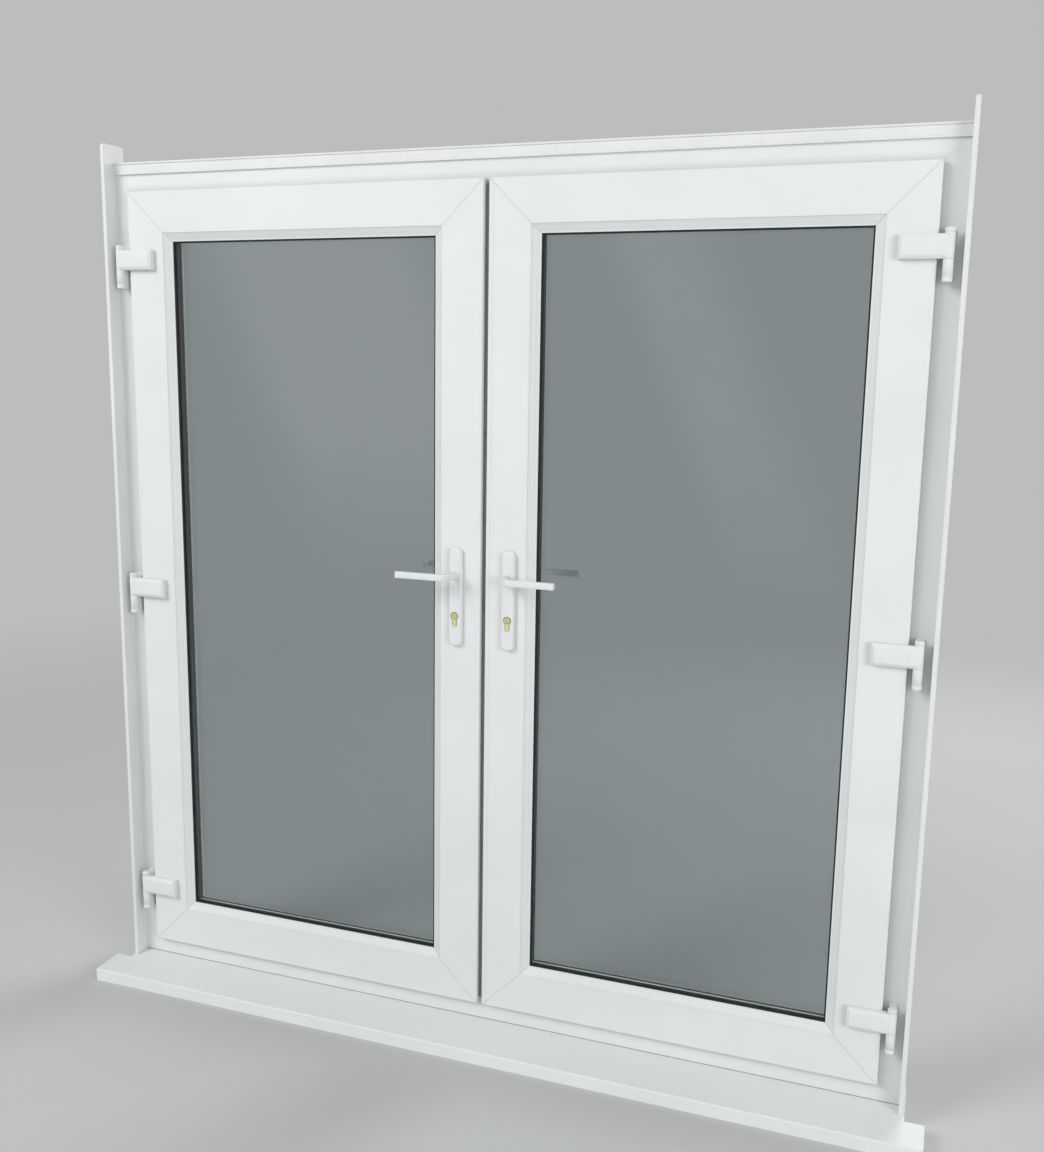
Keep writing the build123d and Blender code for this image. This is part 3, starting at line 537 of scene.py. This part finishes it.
def rubber_finish(name, base):
    """Extruded gasket, matt with a grey bloom."""
    f = Finish(name)
    position = f.position()
    grain = f.noise(position, 700.0, 3.0, 0.6)
    bloom = f.fade(f.noise(position, 26.0, 4.0, 0.65), 0.45, 0.75)
    shade = f.mix(bloom * 0.35, base, RUBBER_BLOOM)
    return f.surface(f.principled(
        Base_Color=shade, Roughness=0.55 + bloom * 0.2, Specular_IOR_Level=0.35,
        Normal=f.bump(grain, 0.00012, 0.6)))


def spacer_finish(name, base, highlight_line):
    """Ribbed black bar with tiny vent holes, and a painted highlight along its lowest length's inner
    edge.
    """
    f = Finish(name)
    position, _, y, _ = f.place()
    ribs = y.saw(0.0016)
    vent = f.fade(f.cells(position, 240.0, "Distance"), 0.05, 0.16, 1.0, 0.0)
    # Painted highlight: a pale line along the upward face of the lowest spacer length
    highlight = f.fade(abs(y - highlight_line), 0.0022, 0.0028, 1.0, 0.0) * f.facing_up()
    shade = f.mix(vent * 0.8, base, VENT_BLACK)
    shade = f.mix(f.fade(f.noise(position, 60.0, 3.0, 0.6), 0.4, 0.8) * 0.3, shade, SPACER_WORN)
    shade = f.mix(highlight, shade, SPACER_HIGHLIGHT)
    return f.surface(f.principled(
        Base_Color=shade, Roughness=0.50 + ribs * 0.1, Normal=f.bump(ribs - vent, 0.0002, 0.6)))


def glass_finish(name, tint):
    """Coated float glass: clear, a little wavy, with a trace of film; lamps shine through it."""
    f = Finish(name)
    position = f.position()
    wave = f.noise(position, 2.6, 1.0, 0.4)
    film = f.fade(f.noise(position, 9.0, 4.0, 0.62), 0.50, 0.80)
    shade = f.mix(film * 0.06, tint, PANE_FILM)
    pane = f.principled(
        Base_Color=shade, Roughness=film * 0.012, IOR=1.65, Transmission_Weight=1.0,
        Normal=f.bump(wave, 0.0016, 0.35))
    clear = f.node("ShaderNodeBsdfTransparent", inputs={"Color": PANE_SHADOW})["BSDF"]
    shadow = f.node("ShaderNodeLightPath")["Is Shadow Ray"]
    return f.surface(f.either(shadow, pane, clear))


def brass_finish(name, base, centre, sizes):
    """Turned brass: fine rings around the plug, a dull, handled face, and painted shade in the plug's
    ring, the keyway and at its outline.
    """
    f = Finish(name)
    position, x, _, z = f.place()
    side = abs(x) - centre[0]
    lift = z - centre[1]
    radius = (side * side + lift * lift).root()
    rings = radius.saw(0.00022)
    tarnish = f.fade(f.noise(position, 240.0, 4.0, 0.65), 0.45, 0.75)
    plug = f.fade(abs(radius - PLUG_RADIUS), 0.0002, 0.0008, 1.0, 0.0)
    slot = f.fade(abs(side), 0.0008, 0.0012, 1.0, 0.0)
    slot = slot * f.fade(abs(lift + 0.0008), 0.0038, 0.0044, 1.0, 0.0)
    tail = (abs(side) - sizes.tail_radius).most(lift)
    outline = f.fade((radius - sizes.cylinder_radius).least(tail), -0.0011, -0.0003)
    shade = f.mix(tarnish * 0.25, base, BRASS_TARNISH)
    # Painted shade in the plug's ring, the keyway and along the cylinder's outline
    shade = f.mix(plug * 0.65 + slot + outline * 0.8, shade, BRASS_PAINTED_SHADE)
    return f.surface(f.principled(
        Base_Color=shade, Metallic=0.55, Roughness=0.36 + tarnish * 0.16,
        Normal=f.bump(rings - plug * 6.0 - slot * 8.0, 0.00005, 0.5)))


def steel_finish(name, base, spangle):
    """Zinc on steel: drawn lines along the length, or the crystal spangle of galvanising."""
    f = Finish(name)
    position, x, y, z = f.place()
    drawn = f.noise(f.vector(x * 800.0, y * 800.0, z * 6.0), 1.0, 2.0, 0.6)
    grey = f.node("ShaderNodeSeparateXYZ", inputs={"Vector": f.cells(position, 150.0, "Color")})["X"]
    shade = f.mix(grey * spangle * 0.5, base, tone(base, 0.72))
    shade = f.mix(f.fade(drawn, 0.35, 0.75) * 0.25, shade, tone(base, 1.25))
    return f.surface(f.principled(
        Base_Color=shade, Metallic=0.92, Roughness=0.30 + grey * (0.20 * spangle) + drawn * 0.08,
        Normal=f.bump(drawn, 0.00006, 0.5)))


def dress(material, *names):
    """Give CAD nodes a material in place of their plain one."""
    for name in names:
        if name not in frame["nodes"]:
            raise RuntimeError("no node named " + name)
        slots = frame["nodes"][name].data.materials
        slots.clear()
        slots.append(material)


def placed(name, data):
    """Put a mesh, lamp or camera in the scene as an object."""
    made = bpy.data.objects.new(name, data)
    bpy.context.scene.collection.objects.link(made)
    return made


def piece(mesh, material, slot, body, *replaced):
    """Show a mesh as a piece that moves with a body and stands for the CAD nodes it replaces."""
    made = placed(mesh.name, mesh)
    mesh.materials.clear()
    mesh.materials.append(material)
    if replaced:
        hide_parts(*replaced)
    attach(made, body)
    return made


def plain_mesh(bm, name):
    """Turn a bmesh into a mesh as it is."""
    mesh = bpy.data.meshes.new(name)
    bm.to_mesh(mesh)
    bm.free()
    return mesh


def mesh_from(bm, name):
    """Turn a bmesh into a mesh with outward faces and smooth shading."""
    bmesh.ops.recalc_face_normals(bm, faces=bm.faces[:])
    for face in bm.faces:
        face.smooth = True
    return plain_mesh(bm, name)


def evaluated_mesh(made):
    """Plain mesh of an object with its modifiers applied."""
    return bpy.data.meshes.new_from_object(made.evaluated_get(bpy.context.evaluated_depsgraph_get()))


def middle(low, high):
    """Centre and half size of a box as seen from the front, each as (x, z)."""
    centre = ((low.x + high.x) / 2.0, (low.z + high.z) / 2.0)
    half = ((high.x - low.x) / 2.0, (high.z - low.z) / 2.0)
    return centre, half


def loft(bm, rings, closed=False):
    """Skin rings of equal length in order, and cap the ends, or join the last ring to the first."""
    rows = [[bm.verts.new(point) for point in ring] for ring in rings]
    count = len(rows[0])
    for first, second in zip(rows, rows[1:] + rows[:1] if closed else rows[1:]):
        for i in range(count):
            j = (i + 1) % count
            bm.faces.new((first[i], first[j], second[j], second[i]))
    if not closed:
        bm.faces.new(rows[0][::-1])
        bm.faces.new(rows[-1])


def circle(radius):
    """Outline of a turned shape."""
    turns = [2 * math.pi * k / ROUND for k in range(ROUND)]
    return [(radius * math.cos(turn), radius * math.sin(turn)) for turn in turns]


def standing(outline, centre, y):
    """Ring of an upright outline about a centre, both given in x and z, at one depth."""
    return [(centre[0] + x, y, centre[1] + z) for x, z in outline]


def superellipse(count, squareness):
    """Unit outline between an ellipse and a rounded rectangle."""
    exponent = 2.0 / squareness
    outline = []
    for k in range(count):
        turn = 2.0 * math.pi * k / count
        outline.append([math.copysign(abs(value) ** exponent, value)
                        for value in (math.cos(turn), math.sin(turn))])
    return outline


def lever_rings(sizes):
    """Sections from the neck, round the bend and along the bar, as (out, along, up) points."""
    bend_start = sizes.standoff - sizes.bend_radius
    run = sizes.reach - sizes.bend_radius - BAR_END[-1][1]
    neck_steps, bend_steps, bar_steps = 5, 12, 8
    # Each step along the lever: out, along, turn, and its form from the neck's, 0, to the bar's, 1
    steps = []
    for k in range(neck_steps + 1):
        out = -LEVER_ROOT + (bend_start + LEVER_ROOT) * k / neck_steps
        steps.append((out, 0.0, 0.0, k / neck_steps * NECK_FORM))
    for k in range(1, bend_steps + 1):
        turn = math.pi / 2.0 * k / bend_steps
        out = bend_start + sizes.bend_radius * math.sin(turn)
        along = sizes.bend_radius * (1.0 - math.cos(turn))
        steps.append((out, along, turn, NECK_FORM + (1.0 - NECK_FORM) * k / bend_steps))
    for k in range(1, bar_steps + 1):
        steps.append((sizes.standoff, sizes.bend_radius + run * k / bar_steps, math.pi / 2.0, 1.0))
    rings = []
    for index, (out, along, turn, form) in enumerate(steps):
        half_depth = sizes.neck_radius + (sizes.bar_depth / 2.0 - sizes.neck_radius) * form
        half_height = sizes.neck_radius + (sizes.bar_height / 2.0 - sizes.neck_radius) * form
        outline = superellipse(sizes.points, 2.0 + (sizes.squareness - 2.0) * form)
        last = index == len(steps) - 1
        for scale, extra in BAR_END if last else BAR_END[:1]:
            ring = []
            for across, up in outline:
                inward = -across * half_depth * scale
                ring.append((
                    out + inward * math.sin(turn) + extra * math.cos(turn),
                    along - inward * math.cos(turn) + extra * math.sin(turn),
                    up * half_height * scale,
                ))
            rings.append(ring)
    return rings


def rounded_rectangle(half_width, half_height, radius, steps=9):
    """Outline of a rectangle with round corners, anticlockwise."""
    radius = min(radius, half_width, half_height)
    points = []
    for corner, (right, up) in enumerate(((1, 1), (-1, 1), (-1, -1), (1, -1))):
        for k in range(steps + 1):
            turn = math.pi / 2.0 * (corner + k / steps)
            points.append((right * (half_width - radius) + radius * math.cos(turn),
                           up * (half_height - radius) + radius * math.sin(turn)))
    return points


def cylinder_outline(sizes, margin):
    """Outline of the lock cylinder, a round end over a narrower tail, about the round end's centre."""
    big = sizes.cylinder_radius + margin
    small = sizes.tail_radius + margin
    drop = sizes.cylinder_height - sizes.cylinder_radius - sizes.tail_radius
    meet = math.asin(small / big)
    big_steps, small_steps = 32, 12
    points = []
    for k in range(big_steps + 1):
        turn = -math.pi / 2.0 + meet + (2.0 * math.pi - 2.0 * meet) * k / big_steps
        points.append((big * math.cos(turn), big * math.sin(turn)))
    for k in range(small_steps + 1):
        turn = math.pi + math.pi * k / small_steps
        points.append((small * math.cos(turn), -drop + small * math.sin(turn)))
    return points


def repeat_tree(name):
    """Node tree that sets a copy of a master piece on every point and joins them under one finish."""
    tree = bpy.data.node_groups.new(name, "GeometryNodeTree")
    for socket, kind in (("Geometry", "Geometry"), ("Master", "Object"), ("Finish", "Material")):
        tree.interface.new_socket(socket, in_out="INPUT", socket_type="NodeSocket" + kind)
    tree.interface.new_socket("Geometry", in_out="OUTPUT", socket_type="NodeSocketGeometry")
    source = tree.nodes.new("NodeGroupInput")
    master = tree.nodes.new("GeometryNodeObjectInfo")
    copies = tree.nodes.new("GeometryNodeInstanceOnPoints")
    joined = tree.nodes.new("GeometryNodeRealizeInstances")
    coated = tree.nodes.new("GeometryNodeSetMaterial")
    result = tree.nodes.new("NodeGroupOutput")
    for start, out_of, end, into in (
        (source, "Master", master, "Object"),
        (source, "Geometry", copies, "Points"),
        (master, "Geometry", copies, "Instance"),
        (copies, "Instances", joined, "Geometry"),
        (joined, "Geometry", coated, "Geometry"),
        (source, "Finish", coated, "Material"),
        (coated, "Geometry", result, "Geometry"),
    ):
        tree.links.new(start.outputs[out_of], end.inputs[into])
    return tree


def repeated(name, points, master_mesh, material):
    """Plain mesh with the master at every point, made by the repeat tree."""
    tree = bpy.data.node_groups.get("repeat_on_points") or repeat_tree("repeat_on_points")
    cloud = bpy.data.meshes.new(name + "_points")
    cloud.from_pydata([tuple(point) for point in points], [], [])
    holder = placed(name + "_points", cloud)
    master = placed(name + "_master", master_mesh)
    modifier = holder.modifiers.new("Repeat", "NODES")
    modifier.node_group = tree
    ids = {item.name: item.identifier for item in tree.interface.items_tree if item.in_out == "INPUT"}
    modifier[ids["Master"]] = master
    modifier[ids["Finish"]] = material
    mesh = evaluated_mesh(holder)
    holder.modifiers.remove(modifier)
    for made in (holder, master):
        bpy.data.objects.remove(made)
    if not mesh.polygons:
        raise RuntimeError(name + " came out empty")
    mesh.name = name
    return mesh


def eased(bm, name, width):
    """The same shape as a new bmesh, with its sharp edges rounded."""
    made = placed(name, mesh_from(bm, name))
    bevel = made.modifiers.new("Bevel", "BEVEL")
    bevel.width = width
    bevel.segments = 3
    bevel.limit_method = "ANGLE"
    bevel.angle_limit = math.radians(20)
    rounded = bmesh.new()
    rounded.from_mesh(evaluated_mesh(made))
    bpy.data.objects.remove(made)
    return rounded


def lathe(bm, profile):
    """Closed turned shape about Z from (radius, height) pairs, bottom to top."""
    loft(bm, [[(x, y, height) for x, y in circle(radius)] for radius, height in profile])


def box(bm, low, high):
    """Plain block between two corners."""
    (x0, y0, z0), (x1, y1, z1) = low, high
    loft(bm, [[(x0, y0, z), (x1, y0, z), (x1, y1, z), (x0, y1, z)] for z in (z0, z1)])


def knuckle_profile(sizes, low, high, cap_at_top):
    """Turned outline of one knuckle, soft at its free end, with the seam of its cap."""
    radius, sunk = sizes.knuckle_radius, sizes.knuckle_radius - sizes.groove
    seam = high - sizes.cap if cap_at_top else low + sizes.cap
    top, bottom = (SOFT_END, SHARP_END) if cap_at_top else (SHARP_END, SOFT_END)
    wide, narrow = GROOVE_HALF
    return [
        (radius - bottom, low), (radius - bottom * 0.3, low + bottom * 0.3), (radius, low + bottom),
        (radius, seam - wide), (sunk, seam - narrow), (sunk, seam + narrow), (radius, seam + wide),
        (radius, high - top), (radius - top * 0.3, high - top * 0.3), (radius - top, high),
    ]


class DOORSET_OT_levers(bpy.types.Operator):
    """Model the lever handles with a round neck, a bend and a rounded bar"""

    bl_idname = "doorset.levers"
    bl_label = "Levers"

    def execute(self, context):
        sizes = context.scene.doorset_levers
        colours = context.scene.doorset_finishes
        material = coating_finish("handle_coat", colours.coating, colours)
        for leaf, side in LEAVES:
            (pivot_x, pivot_z), _ = middle(*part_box(leaf + "_spindle"))
            bm = bmesh.new()
            for where, out in FACES:
                low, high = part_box(leaf + "_plate_" + where)
                face = low.y if out < 0 else high.y
                loft(bm, [[(pivot_x + side * along, face + out * proud, pivot_z + up)
                           for proud, along, up in ring] for ring in lever_rings(sizes)])
            mesh = mesh_from(bm, leaf + "_lever_bars")
            piece(mesh, material, "handle_white", leaf + "_lever", leaf + "_levers")
        return {"FINISHED"}


class DOORSET_OT_plates(bpy.types.Operator):
    """Model the handle plates with a soft edge, a collar at the neck and a lip round the cylinder"""

    bl_idname = "doorset.plates"
    bl_label = "Handle plates"

    def execute(self, context):
        sizes = context.scene.doorset_plates
        colours = context.scene.doorset_finishes
        material = coating_finish("plate_coat", colours.coating, colours)
        for leaf, _ in LEAVES:
            pivot, _ = middle(*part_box(leaf + "_spindle"))
            lock = (pivot[0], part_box(leaf + "_cylinder")[1].z - sizes.cylinder_radius)
            for where, out in FACES:
                low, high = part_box(leaf + "_plate_" + where)
                base = high.y if out < 0 else low.y
                deep = high.y - low.y
                face = base + out * deep
                bm = bmesh.new()
                self.add_plate(bm, sizes, middle(low, high), base, out, deep)
                self.add_collar(bm, sizes, pivot, face, out)
                self.add_lip(bm, sizes, lock, face, out)
                mesh = mesh_from(bm, leaf + "_handle_plate_" + where)
                piece(mesh, material, "handle_white", leaf + "_leaf", leaf + "_plate_" + where)
        return {"FINISHED"}

    @staticmethod
    def add_plate(bm, sizes, place, base, out, deep):
        """Plate with round corners and a quarter-round edge towards its face."""
        centre, half = place
        edge_steps = 7
        steps = [(0.0, 0.0), (0.0, deep * SQUARE_SHARE)]
        for k in range(1, edge_steps + 1):
            turn = math.pi / 2.0 * k / edge_steps
            rise = deep * (SQUARE_SHARE + (1.0 - SQUARE_SHARE) * math.sin(turn))
            steps.append((sizes.edge_width * (1.0 - math.cos(turn)), rise))
        steps.append((sizes.edge_width + EDGE_FLAT, deep))
        rings = []
        for inset, rise in steps:
            radius = sizes.corner_radius - inset * 0.6
            outline = rounded_rectangle(half[0] - inset, half[1] - inset, radius)
            rings.append(standing(outline, centre, base + out * rise))
        loft(bm, rings)

    @staticmethod
    def add_collar(bm, sizes, centre, face, out):
        """Raised round collar with a shallow dish for the lever's neck."""
        radius, height = sizes.collar_radius, sizes.collar_height
        steps = (
            (0.0, -COLLAR_ROOT), (0.0, height * 0.45), (0.0004, height * 0.72), (0.0012, height * 0.92),
            (0.0024, height), (0.0038, height), (0.0042, height * 0.8),
        )
        loft(bm, [standing(circle(radius - inset), centre, face + out * rise) for inset, rise in steps])

    @staticmethod
    def add_lip(bm, sizes, centre, face, out):
        """Low lip that runs round the cylinder."""
        width, height = sizes.lip_width, sizes.lip_height
        steps = ((0.0003, -COLLAR_ROOT), (0.0003, height * 0.7), (0.0007, height),
                 (width - 0.0007, height), (width, -COLLAR_ROOT))
        loft(bm, [standing(cylinder_outline(sizes, margin), centre, face + out * rise)
                  for margin, rise in steps], closed=True)


class DOORSET_OT_hinges(bpy.types.Operator):
    """Model one hinge and set a copy of it at each height with Geometry Nodes"""

    bl_idname = "doorset.hinges"
    bl_label = "Flag hinges"

    def execute(self, context):
        sizes = context.scene.doorset_hinges
        colours = context.scene.doorset_finishes
        material = coating_finish("hinge_coat", colours.coating, colours)
        axes = {joint["child"]: joint["pos_m"] for joint in frame["joints"]
                if joint["child"].endswith("_leaf")}
        frame_points = []
        for leaf, side in LEAVES:
            x, y, _ = axes[leaf + "_leaf"]
            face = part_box(leaf + "_hinge_stile")[0].y - y
            points = [(x, y, top) for top in sizes.tops]
            frame_points += points
            master = self.flag(sizes, side, face)
            mesh = repeated(leaf + "_hinge_flags_and_caps", points, master, material)
            piece(mesh, material, "hinge_white", leaf + "_leaf",
                  leaf + "_hinge_flags", leaf + "_hinge_covers")
        master = self.lower(sizes, -axes["left_leaf"][1])
        mesh = repeated("hinge_lower_knuckles", frame_points, master, material)
        piece(mesh, material, "hinge_white", "frame", "hinge_frame_parts")
        return {"FINISHED"}

    @staticmethod
    def flag(sizes, side, face):
        """Flag with sloping edges and the upper knuckle, about the axis at the knuckle's top."""
        top = -sizes.flag_drop
        low = top - sizes.flag_height
        front = face - sizes.flag_depth
        near, far = -side * FLAG_START, -side * sizes.flag_length
        slope = sizes.flag_bevel
        bm = bmesh.new()
        loft(bm, [[(near, y, low + inset), (far + side * inset, y, low + inset),
                   (far + side * inset, y, top - inset), (near, y, top - inset)]
                  for inset, y in ((0.0, face), (0.0, front + slope * BEVEL_FALL), (slope, front))])
        joined = eased(bm, "flag_cover", sizes.flag_rounding)
        lathe(joined, knuckle_profile(sizes, -sizes.seam + SEAM_GAP, 0.0, True))
        return mesh_from(joined, "flag_master")

    @staticmethod
    def lower(sizes, back):
        """Lower knuckle and the bracket that carries it on the frame's face."""
        low, seam = -sizes.height, -sizes.seam
        bm = bmesh.new()
        neck = sizes.neck
        box(bm, (-neck, back - BRACKET_DEPTH, low), (neck, back, -BRACKET_INSET))
        box(bm, (-neck, 0.0, low + NECK_INSET), (neck, back - BRACKET_INSET, seam - NECK_INSET))
        joined = eased(bm, "bracket", sizes.neck_rounding)
        lathe(joined, knuckle_profile(sizes, low, seam - SEAM_GAP, False))
        return mesh_from(joined, "lower_master")


class DOORSET_OT_profiles(bpy.types.Operator):
    """Finish the white profiles, the cill, the boards and the caps"""

    bl_idname = "doorset.profiles"
    bl_label = "Profiles and boards"

    def execute(self, context):
        colours = context.scene.doorset_finishes
        low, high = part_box("frame_jamb_left")[0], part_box("frame_jamb_right")[1]
        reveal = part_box("left_hinge_stile")[0].x - low.x
        material = profile_finish(
            "frame_plastic", colours, low, high, weld_share=0.4, joint=low.z, hollow=reveal)
        dress(material, "frame_head", "frame_sill", "frame_jamb_left", "frame_jamb_right")
        for leaf, side in LEAVES:
            low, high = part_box(leaf + "_top_rail")
            low = Vector((low.x, low.y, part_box(leaf + "_bottom_rail")[0].z))
            lines = [low.x + away for away in MEETING_LINES] if side > 0 else ()
            _, stile_half = middle(*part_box(leaf + "_hinge_stile"))
            steps = [(2.0 * stile_half[0] - away, depth, width) for away, depth, width in LEAF_STEPS]
            material = profile_finish(
                leaf + "_leaf_plastic", colours, low, high, lines=lines, steps=steps)
            dress(material, leaf + "_hinge_stile", leaf + "_meeting_stile", leaf + "_top_rail",
                  leaf + "_bottom_rail", leaf + "_glazing_beads")
        dress(profile_finish("mullion_plastic", colours, *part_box("mullion")), "mullion")
        dress(coating_finish("mullion_cap_plastic", colours.profile, colours), "mullion_caps")
        dress(cill_finish("cill_plastic", colours.cill, colours), "cill")
        dress(cill_finish("cill_cap_plastic", tone(colours.cill, 0.985), colours), "cill_end_caps")
        dress(board_finish("board_plastic", colours.board, colours), "reveal_boards")
        dress(board_finish("trim_plastic", tone(colours.board, 1.01), colours), "head_trim")
        return {"FINISHED"}


class DOORSET_OT_glazing(bpy.types.Operator):
    """Finish the glass, its gaskets and the spacer bars"""

    bl_idname = "doorset.glazing"
    bl_label = "Glazing"

    def execute(self, context):
        colours = context.scene.doorset_finishes
        glass = glass_finish("float_glass", colours.glass)
        rubber = rubber_finish("gasket_rubber", colours.rubber)
        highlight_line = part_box("right_spacer_bar")[1].y - HIGHLIGHT_INSET
        spacer = spacer_finish("spacer_plastic", colours.spacer, highlight_line)
        dress(rubber, "frame_gasket")
        dress(rubber_finish("seal_rubber_grey", colours.seal), "meeting_seal")
        for leaf, _ in LEAVES:
            dress(glass, leaf + "_glass_panes")
            dress(rubber, leaf + "_glazing_gaskets", leaf + "_flange_gasket")
            dress(spacer, leaf + "_spacer_bar")
        return {"FINISHED"}


class DOORSET_OT_hardware(bpy.types.Operator):
    """Finish the cylinders, bolts, faceplates and the steel inside the profiles"""

    bl_idname = "doorset.hardware"
    bl_label = "Lock and steel"

    def execute(self, context):
        colours = context.scene.doorset_finishes
        sizes = context.scene.doorset_plates
        low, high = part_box("right_cylinder")
        centre = ((low.x + high.x) / 2.0, high.z - sizes.cylinder_radius)
        brass = brass_finish("cylinder_brass_turned", colours.brass, centre, sizes)
        zinc = steel_finish("zinc_plate", colours.steel, 0.0)
        bright = steel_finish("bright_zinc", tone(colours.steel, 1.12), 0.0)
        galvanised = steel_finish("galvanised_spangle", tone(colours.steel, 1.05), 1.0)
        dress(galvanised, "frame_reinforcement")
        dress(bright, "bolt_keeps", "hinge_pins")
        for leaf, _ in LEAVES:
            dress(brass, leaf + "_cylinder")
            dress(galvanised, leaf + "_reinforcement")
            dress(bright, leaf + "_faceplate", leaf + "_plate_screws", leaf + "_spindle")
            dress(zinc, leaf + "_gearbox", leaf + "_shoot_bolt_top", leaf + "_shoot_bolt_bottom")
        return {"FINISHED"}


class DOORSET_OT_studio(bpy.types.Operator):
    """Lay the floor, hang the lamps and place the camera"""

    bl_idname = "doorset.studio"
    bl_label = "Studio"

    def execute(self, context):
        studio = context.scene.doorset_studio
        self.floor(studio)
        self.world(context.scene, studio)
        for name, setting, place, target, size in LAMPS:
            self.lamp(name, place, target, size, getattr(studio, setting))
        self.card("front_card", -1.0, studio.sheen[0])
        self.card("back_card", 1.0, studio.sheen[1])
        self.camera(context.scene, studio)
        context.scene.view_settings.view_transform = "Standard"
        return {"FINISHED"}

    @staticmethod
    def floor(studio):
        """Pale floor that fades into the backdrop away from the doorset."""
        bm = bmesh.new()
        bmesh.ops.create_circle(bm, cap_ends=True, radius=FLOOR_RADIUS, segments=96)
        made = placed("floor", plain_mesh(bm, "floor"))
        f = Finish("floor_finish")
        position = f.position()
        reach = f.node("ShaderNodeVectorMath", {"operation": "LENGTH"}, {0: position})["Value"]
        grain = f.noise(position, 7.0, 3.0, 0.6)
        shade = f.mix(grain * 0.10, studio.floor, tone(studio.floor, 0.94))
        ground = f.principled(Base_Color=shade, Roughness=0.72, Specular_IOR_Level=0.25)
        far = f.glow(studio.backdrop, 1.0)
        factor = f.fade(reach, *FLOOR_FADE) * f.seen()
        made.data.materials.append(f.surface(f.either(factor, ground, far)))

    @staticmethod
    def world(scene, studio):
        """Even light for the object, and the backdrop's colour for what camera, gloss and glass see."""
        f = Finish("studio_world", world=True)
        light = f.background(DAYLIGHT, studio.ambient)
        backdrop = f.background(studio.backdrop, 1.0)
        scene.world = f.surface(f.either(f.seen(), light, backdrop))

    @staticmethod
    def lamp(name, place, target, size, energy):
        """Round lamp that lights everything, and that gloss and glass don't show."""
        data = bpy.data.lights.new(name, "AREA")
        data.shape = "DISK"
        data.size = size
        data.energy = energy
        made = placed(name, data)
        made.location = place
        made.rotation_euler = (Vector(target) - Vector(place)).to_track_quat("-Z", "Y").to_euler()
        made.visible_glossy = False
        made.visible_transmission = False

    @staticmethod
    def card(name, side, strength):
        """Soft leaning bands of light that only gloss sees, so that the panes read as glass."""
        bm = bmesh.new()
        bm.faces.new([bm.verts.new((-side * x, side * CARD_DISTANCE, z)) for x, z in CARD_CORNERS])
        made = placed(name, plain_mesh(bm, name))
        f = Finish(name + "_glow")
        _, x, _, z = f.place()
        lean = x * -side + z * CARD_LEAN
        broad = f.fade(lean, -2.9, -2.3) * f.fade(lean, -1.5, -0.8, 1.0, 0.0)
        narrow = f.fade(lean, -0.1, 0.15) * f.fade(lean, 0.35, 0.75, 1.0, 0.0)
        mask = (broad + narrow * 0.7) * f.fade(z, 0.1, 1.3)
        nothing = f.node("ShaderNodeBsdfTransparent")["BSDF"]
        made.data.materials.append(f.surface(f.either(mask, nothing, f.glow(WHITE, strength))))
        made.visible_camera = made.visible_diffuse = False
        made.visible_shadow = made.visible_transmission = False

    @staticmethod
    def camera(scene, studio):
        """Camera at the photograph's viewing angle."""
        data = bpy.data.cameras.new("camera")
        data.lens = studio.lens
        data.sensor_width = 36.0
        data.sensor_fit = "AUTO"
        data.clip_end = 200.0
        made = placed("camera", data)
        turn = Matrix.Rotation(studio.turn, 4, "Z")
        tilt = Matrix.Rotation(math.pi / 2.0 - studio.tilt, 4, "X")
        roll = Matrix.Rotation(studio.roll, 4, "Z")
        made.matrix_world = Matrix.Translation(studio.eye) @ turn @ tilt @ roll
        scene.camera = made


class DOORSET_PT_panel(bpy.types.Panel):
    """Sidebar panel with every step"""

    bl_idname = "DOORSET_PT_panel"
    bl_label = "Doorset"
    bl_space_type = "VIEW_3D"
    bl_region_type = "UI"
    bl_category = "Doorset"

    def draw(self, context):
        for group in GROUPS:
            settings = getattr(context.scene, group)
            column = self.layout.column(heading=group.replace("doorset_", "").title())
            for name in settings.__annotations__:
                column.prop(settings, name)
        for step in STEPS:
            self.layout.operator(step.bl_idname)


GROUPS = {
    "doorset_levers": LeverSizes,
    "doorset_plates": PlateSizes,
    "doorset_hinges": HingeSizes,
    "doorset_finishes": FinishColours,
    "doorset_studio": StudioSettings,
}
STEPS = (
    DOORSET_OT_profiles,
    DOORSET_OT_glazing,
    DOORSET_OT_hardware,
    DOORSET_OT_levers,
    DOORSET_OT_plates,
    DOORSET_OT_hinges,
    DOORSET_OT_studio,
)
CLASSES = (*GROUPS.values(), *STEPS, DOORSET_PT_panel)


def register():
    for made in CLASSES:
        bpy.utils.register_class(made)
    for name, group in GROUPS.items():
        setattr(bpy.types.Scene, name, PointerProperty(type=group))


def unregister():
    for name in GROUPS:
        delattr(bpy.types.Scene, name)
    for made in reversed(CLASSES):
        bpy.utils.unregister_class(made)


def main():
    register()
    for step in STEPS:
        family, action = step.bl_idname.split(".")
        getattr(getattr(bpy.ops, family), action)()


if __name__ == "__main__":
    main()
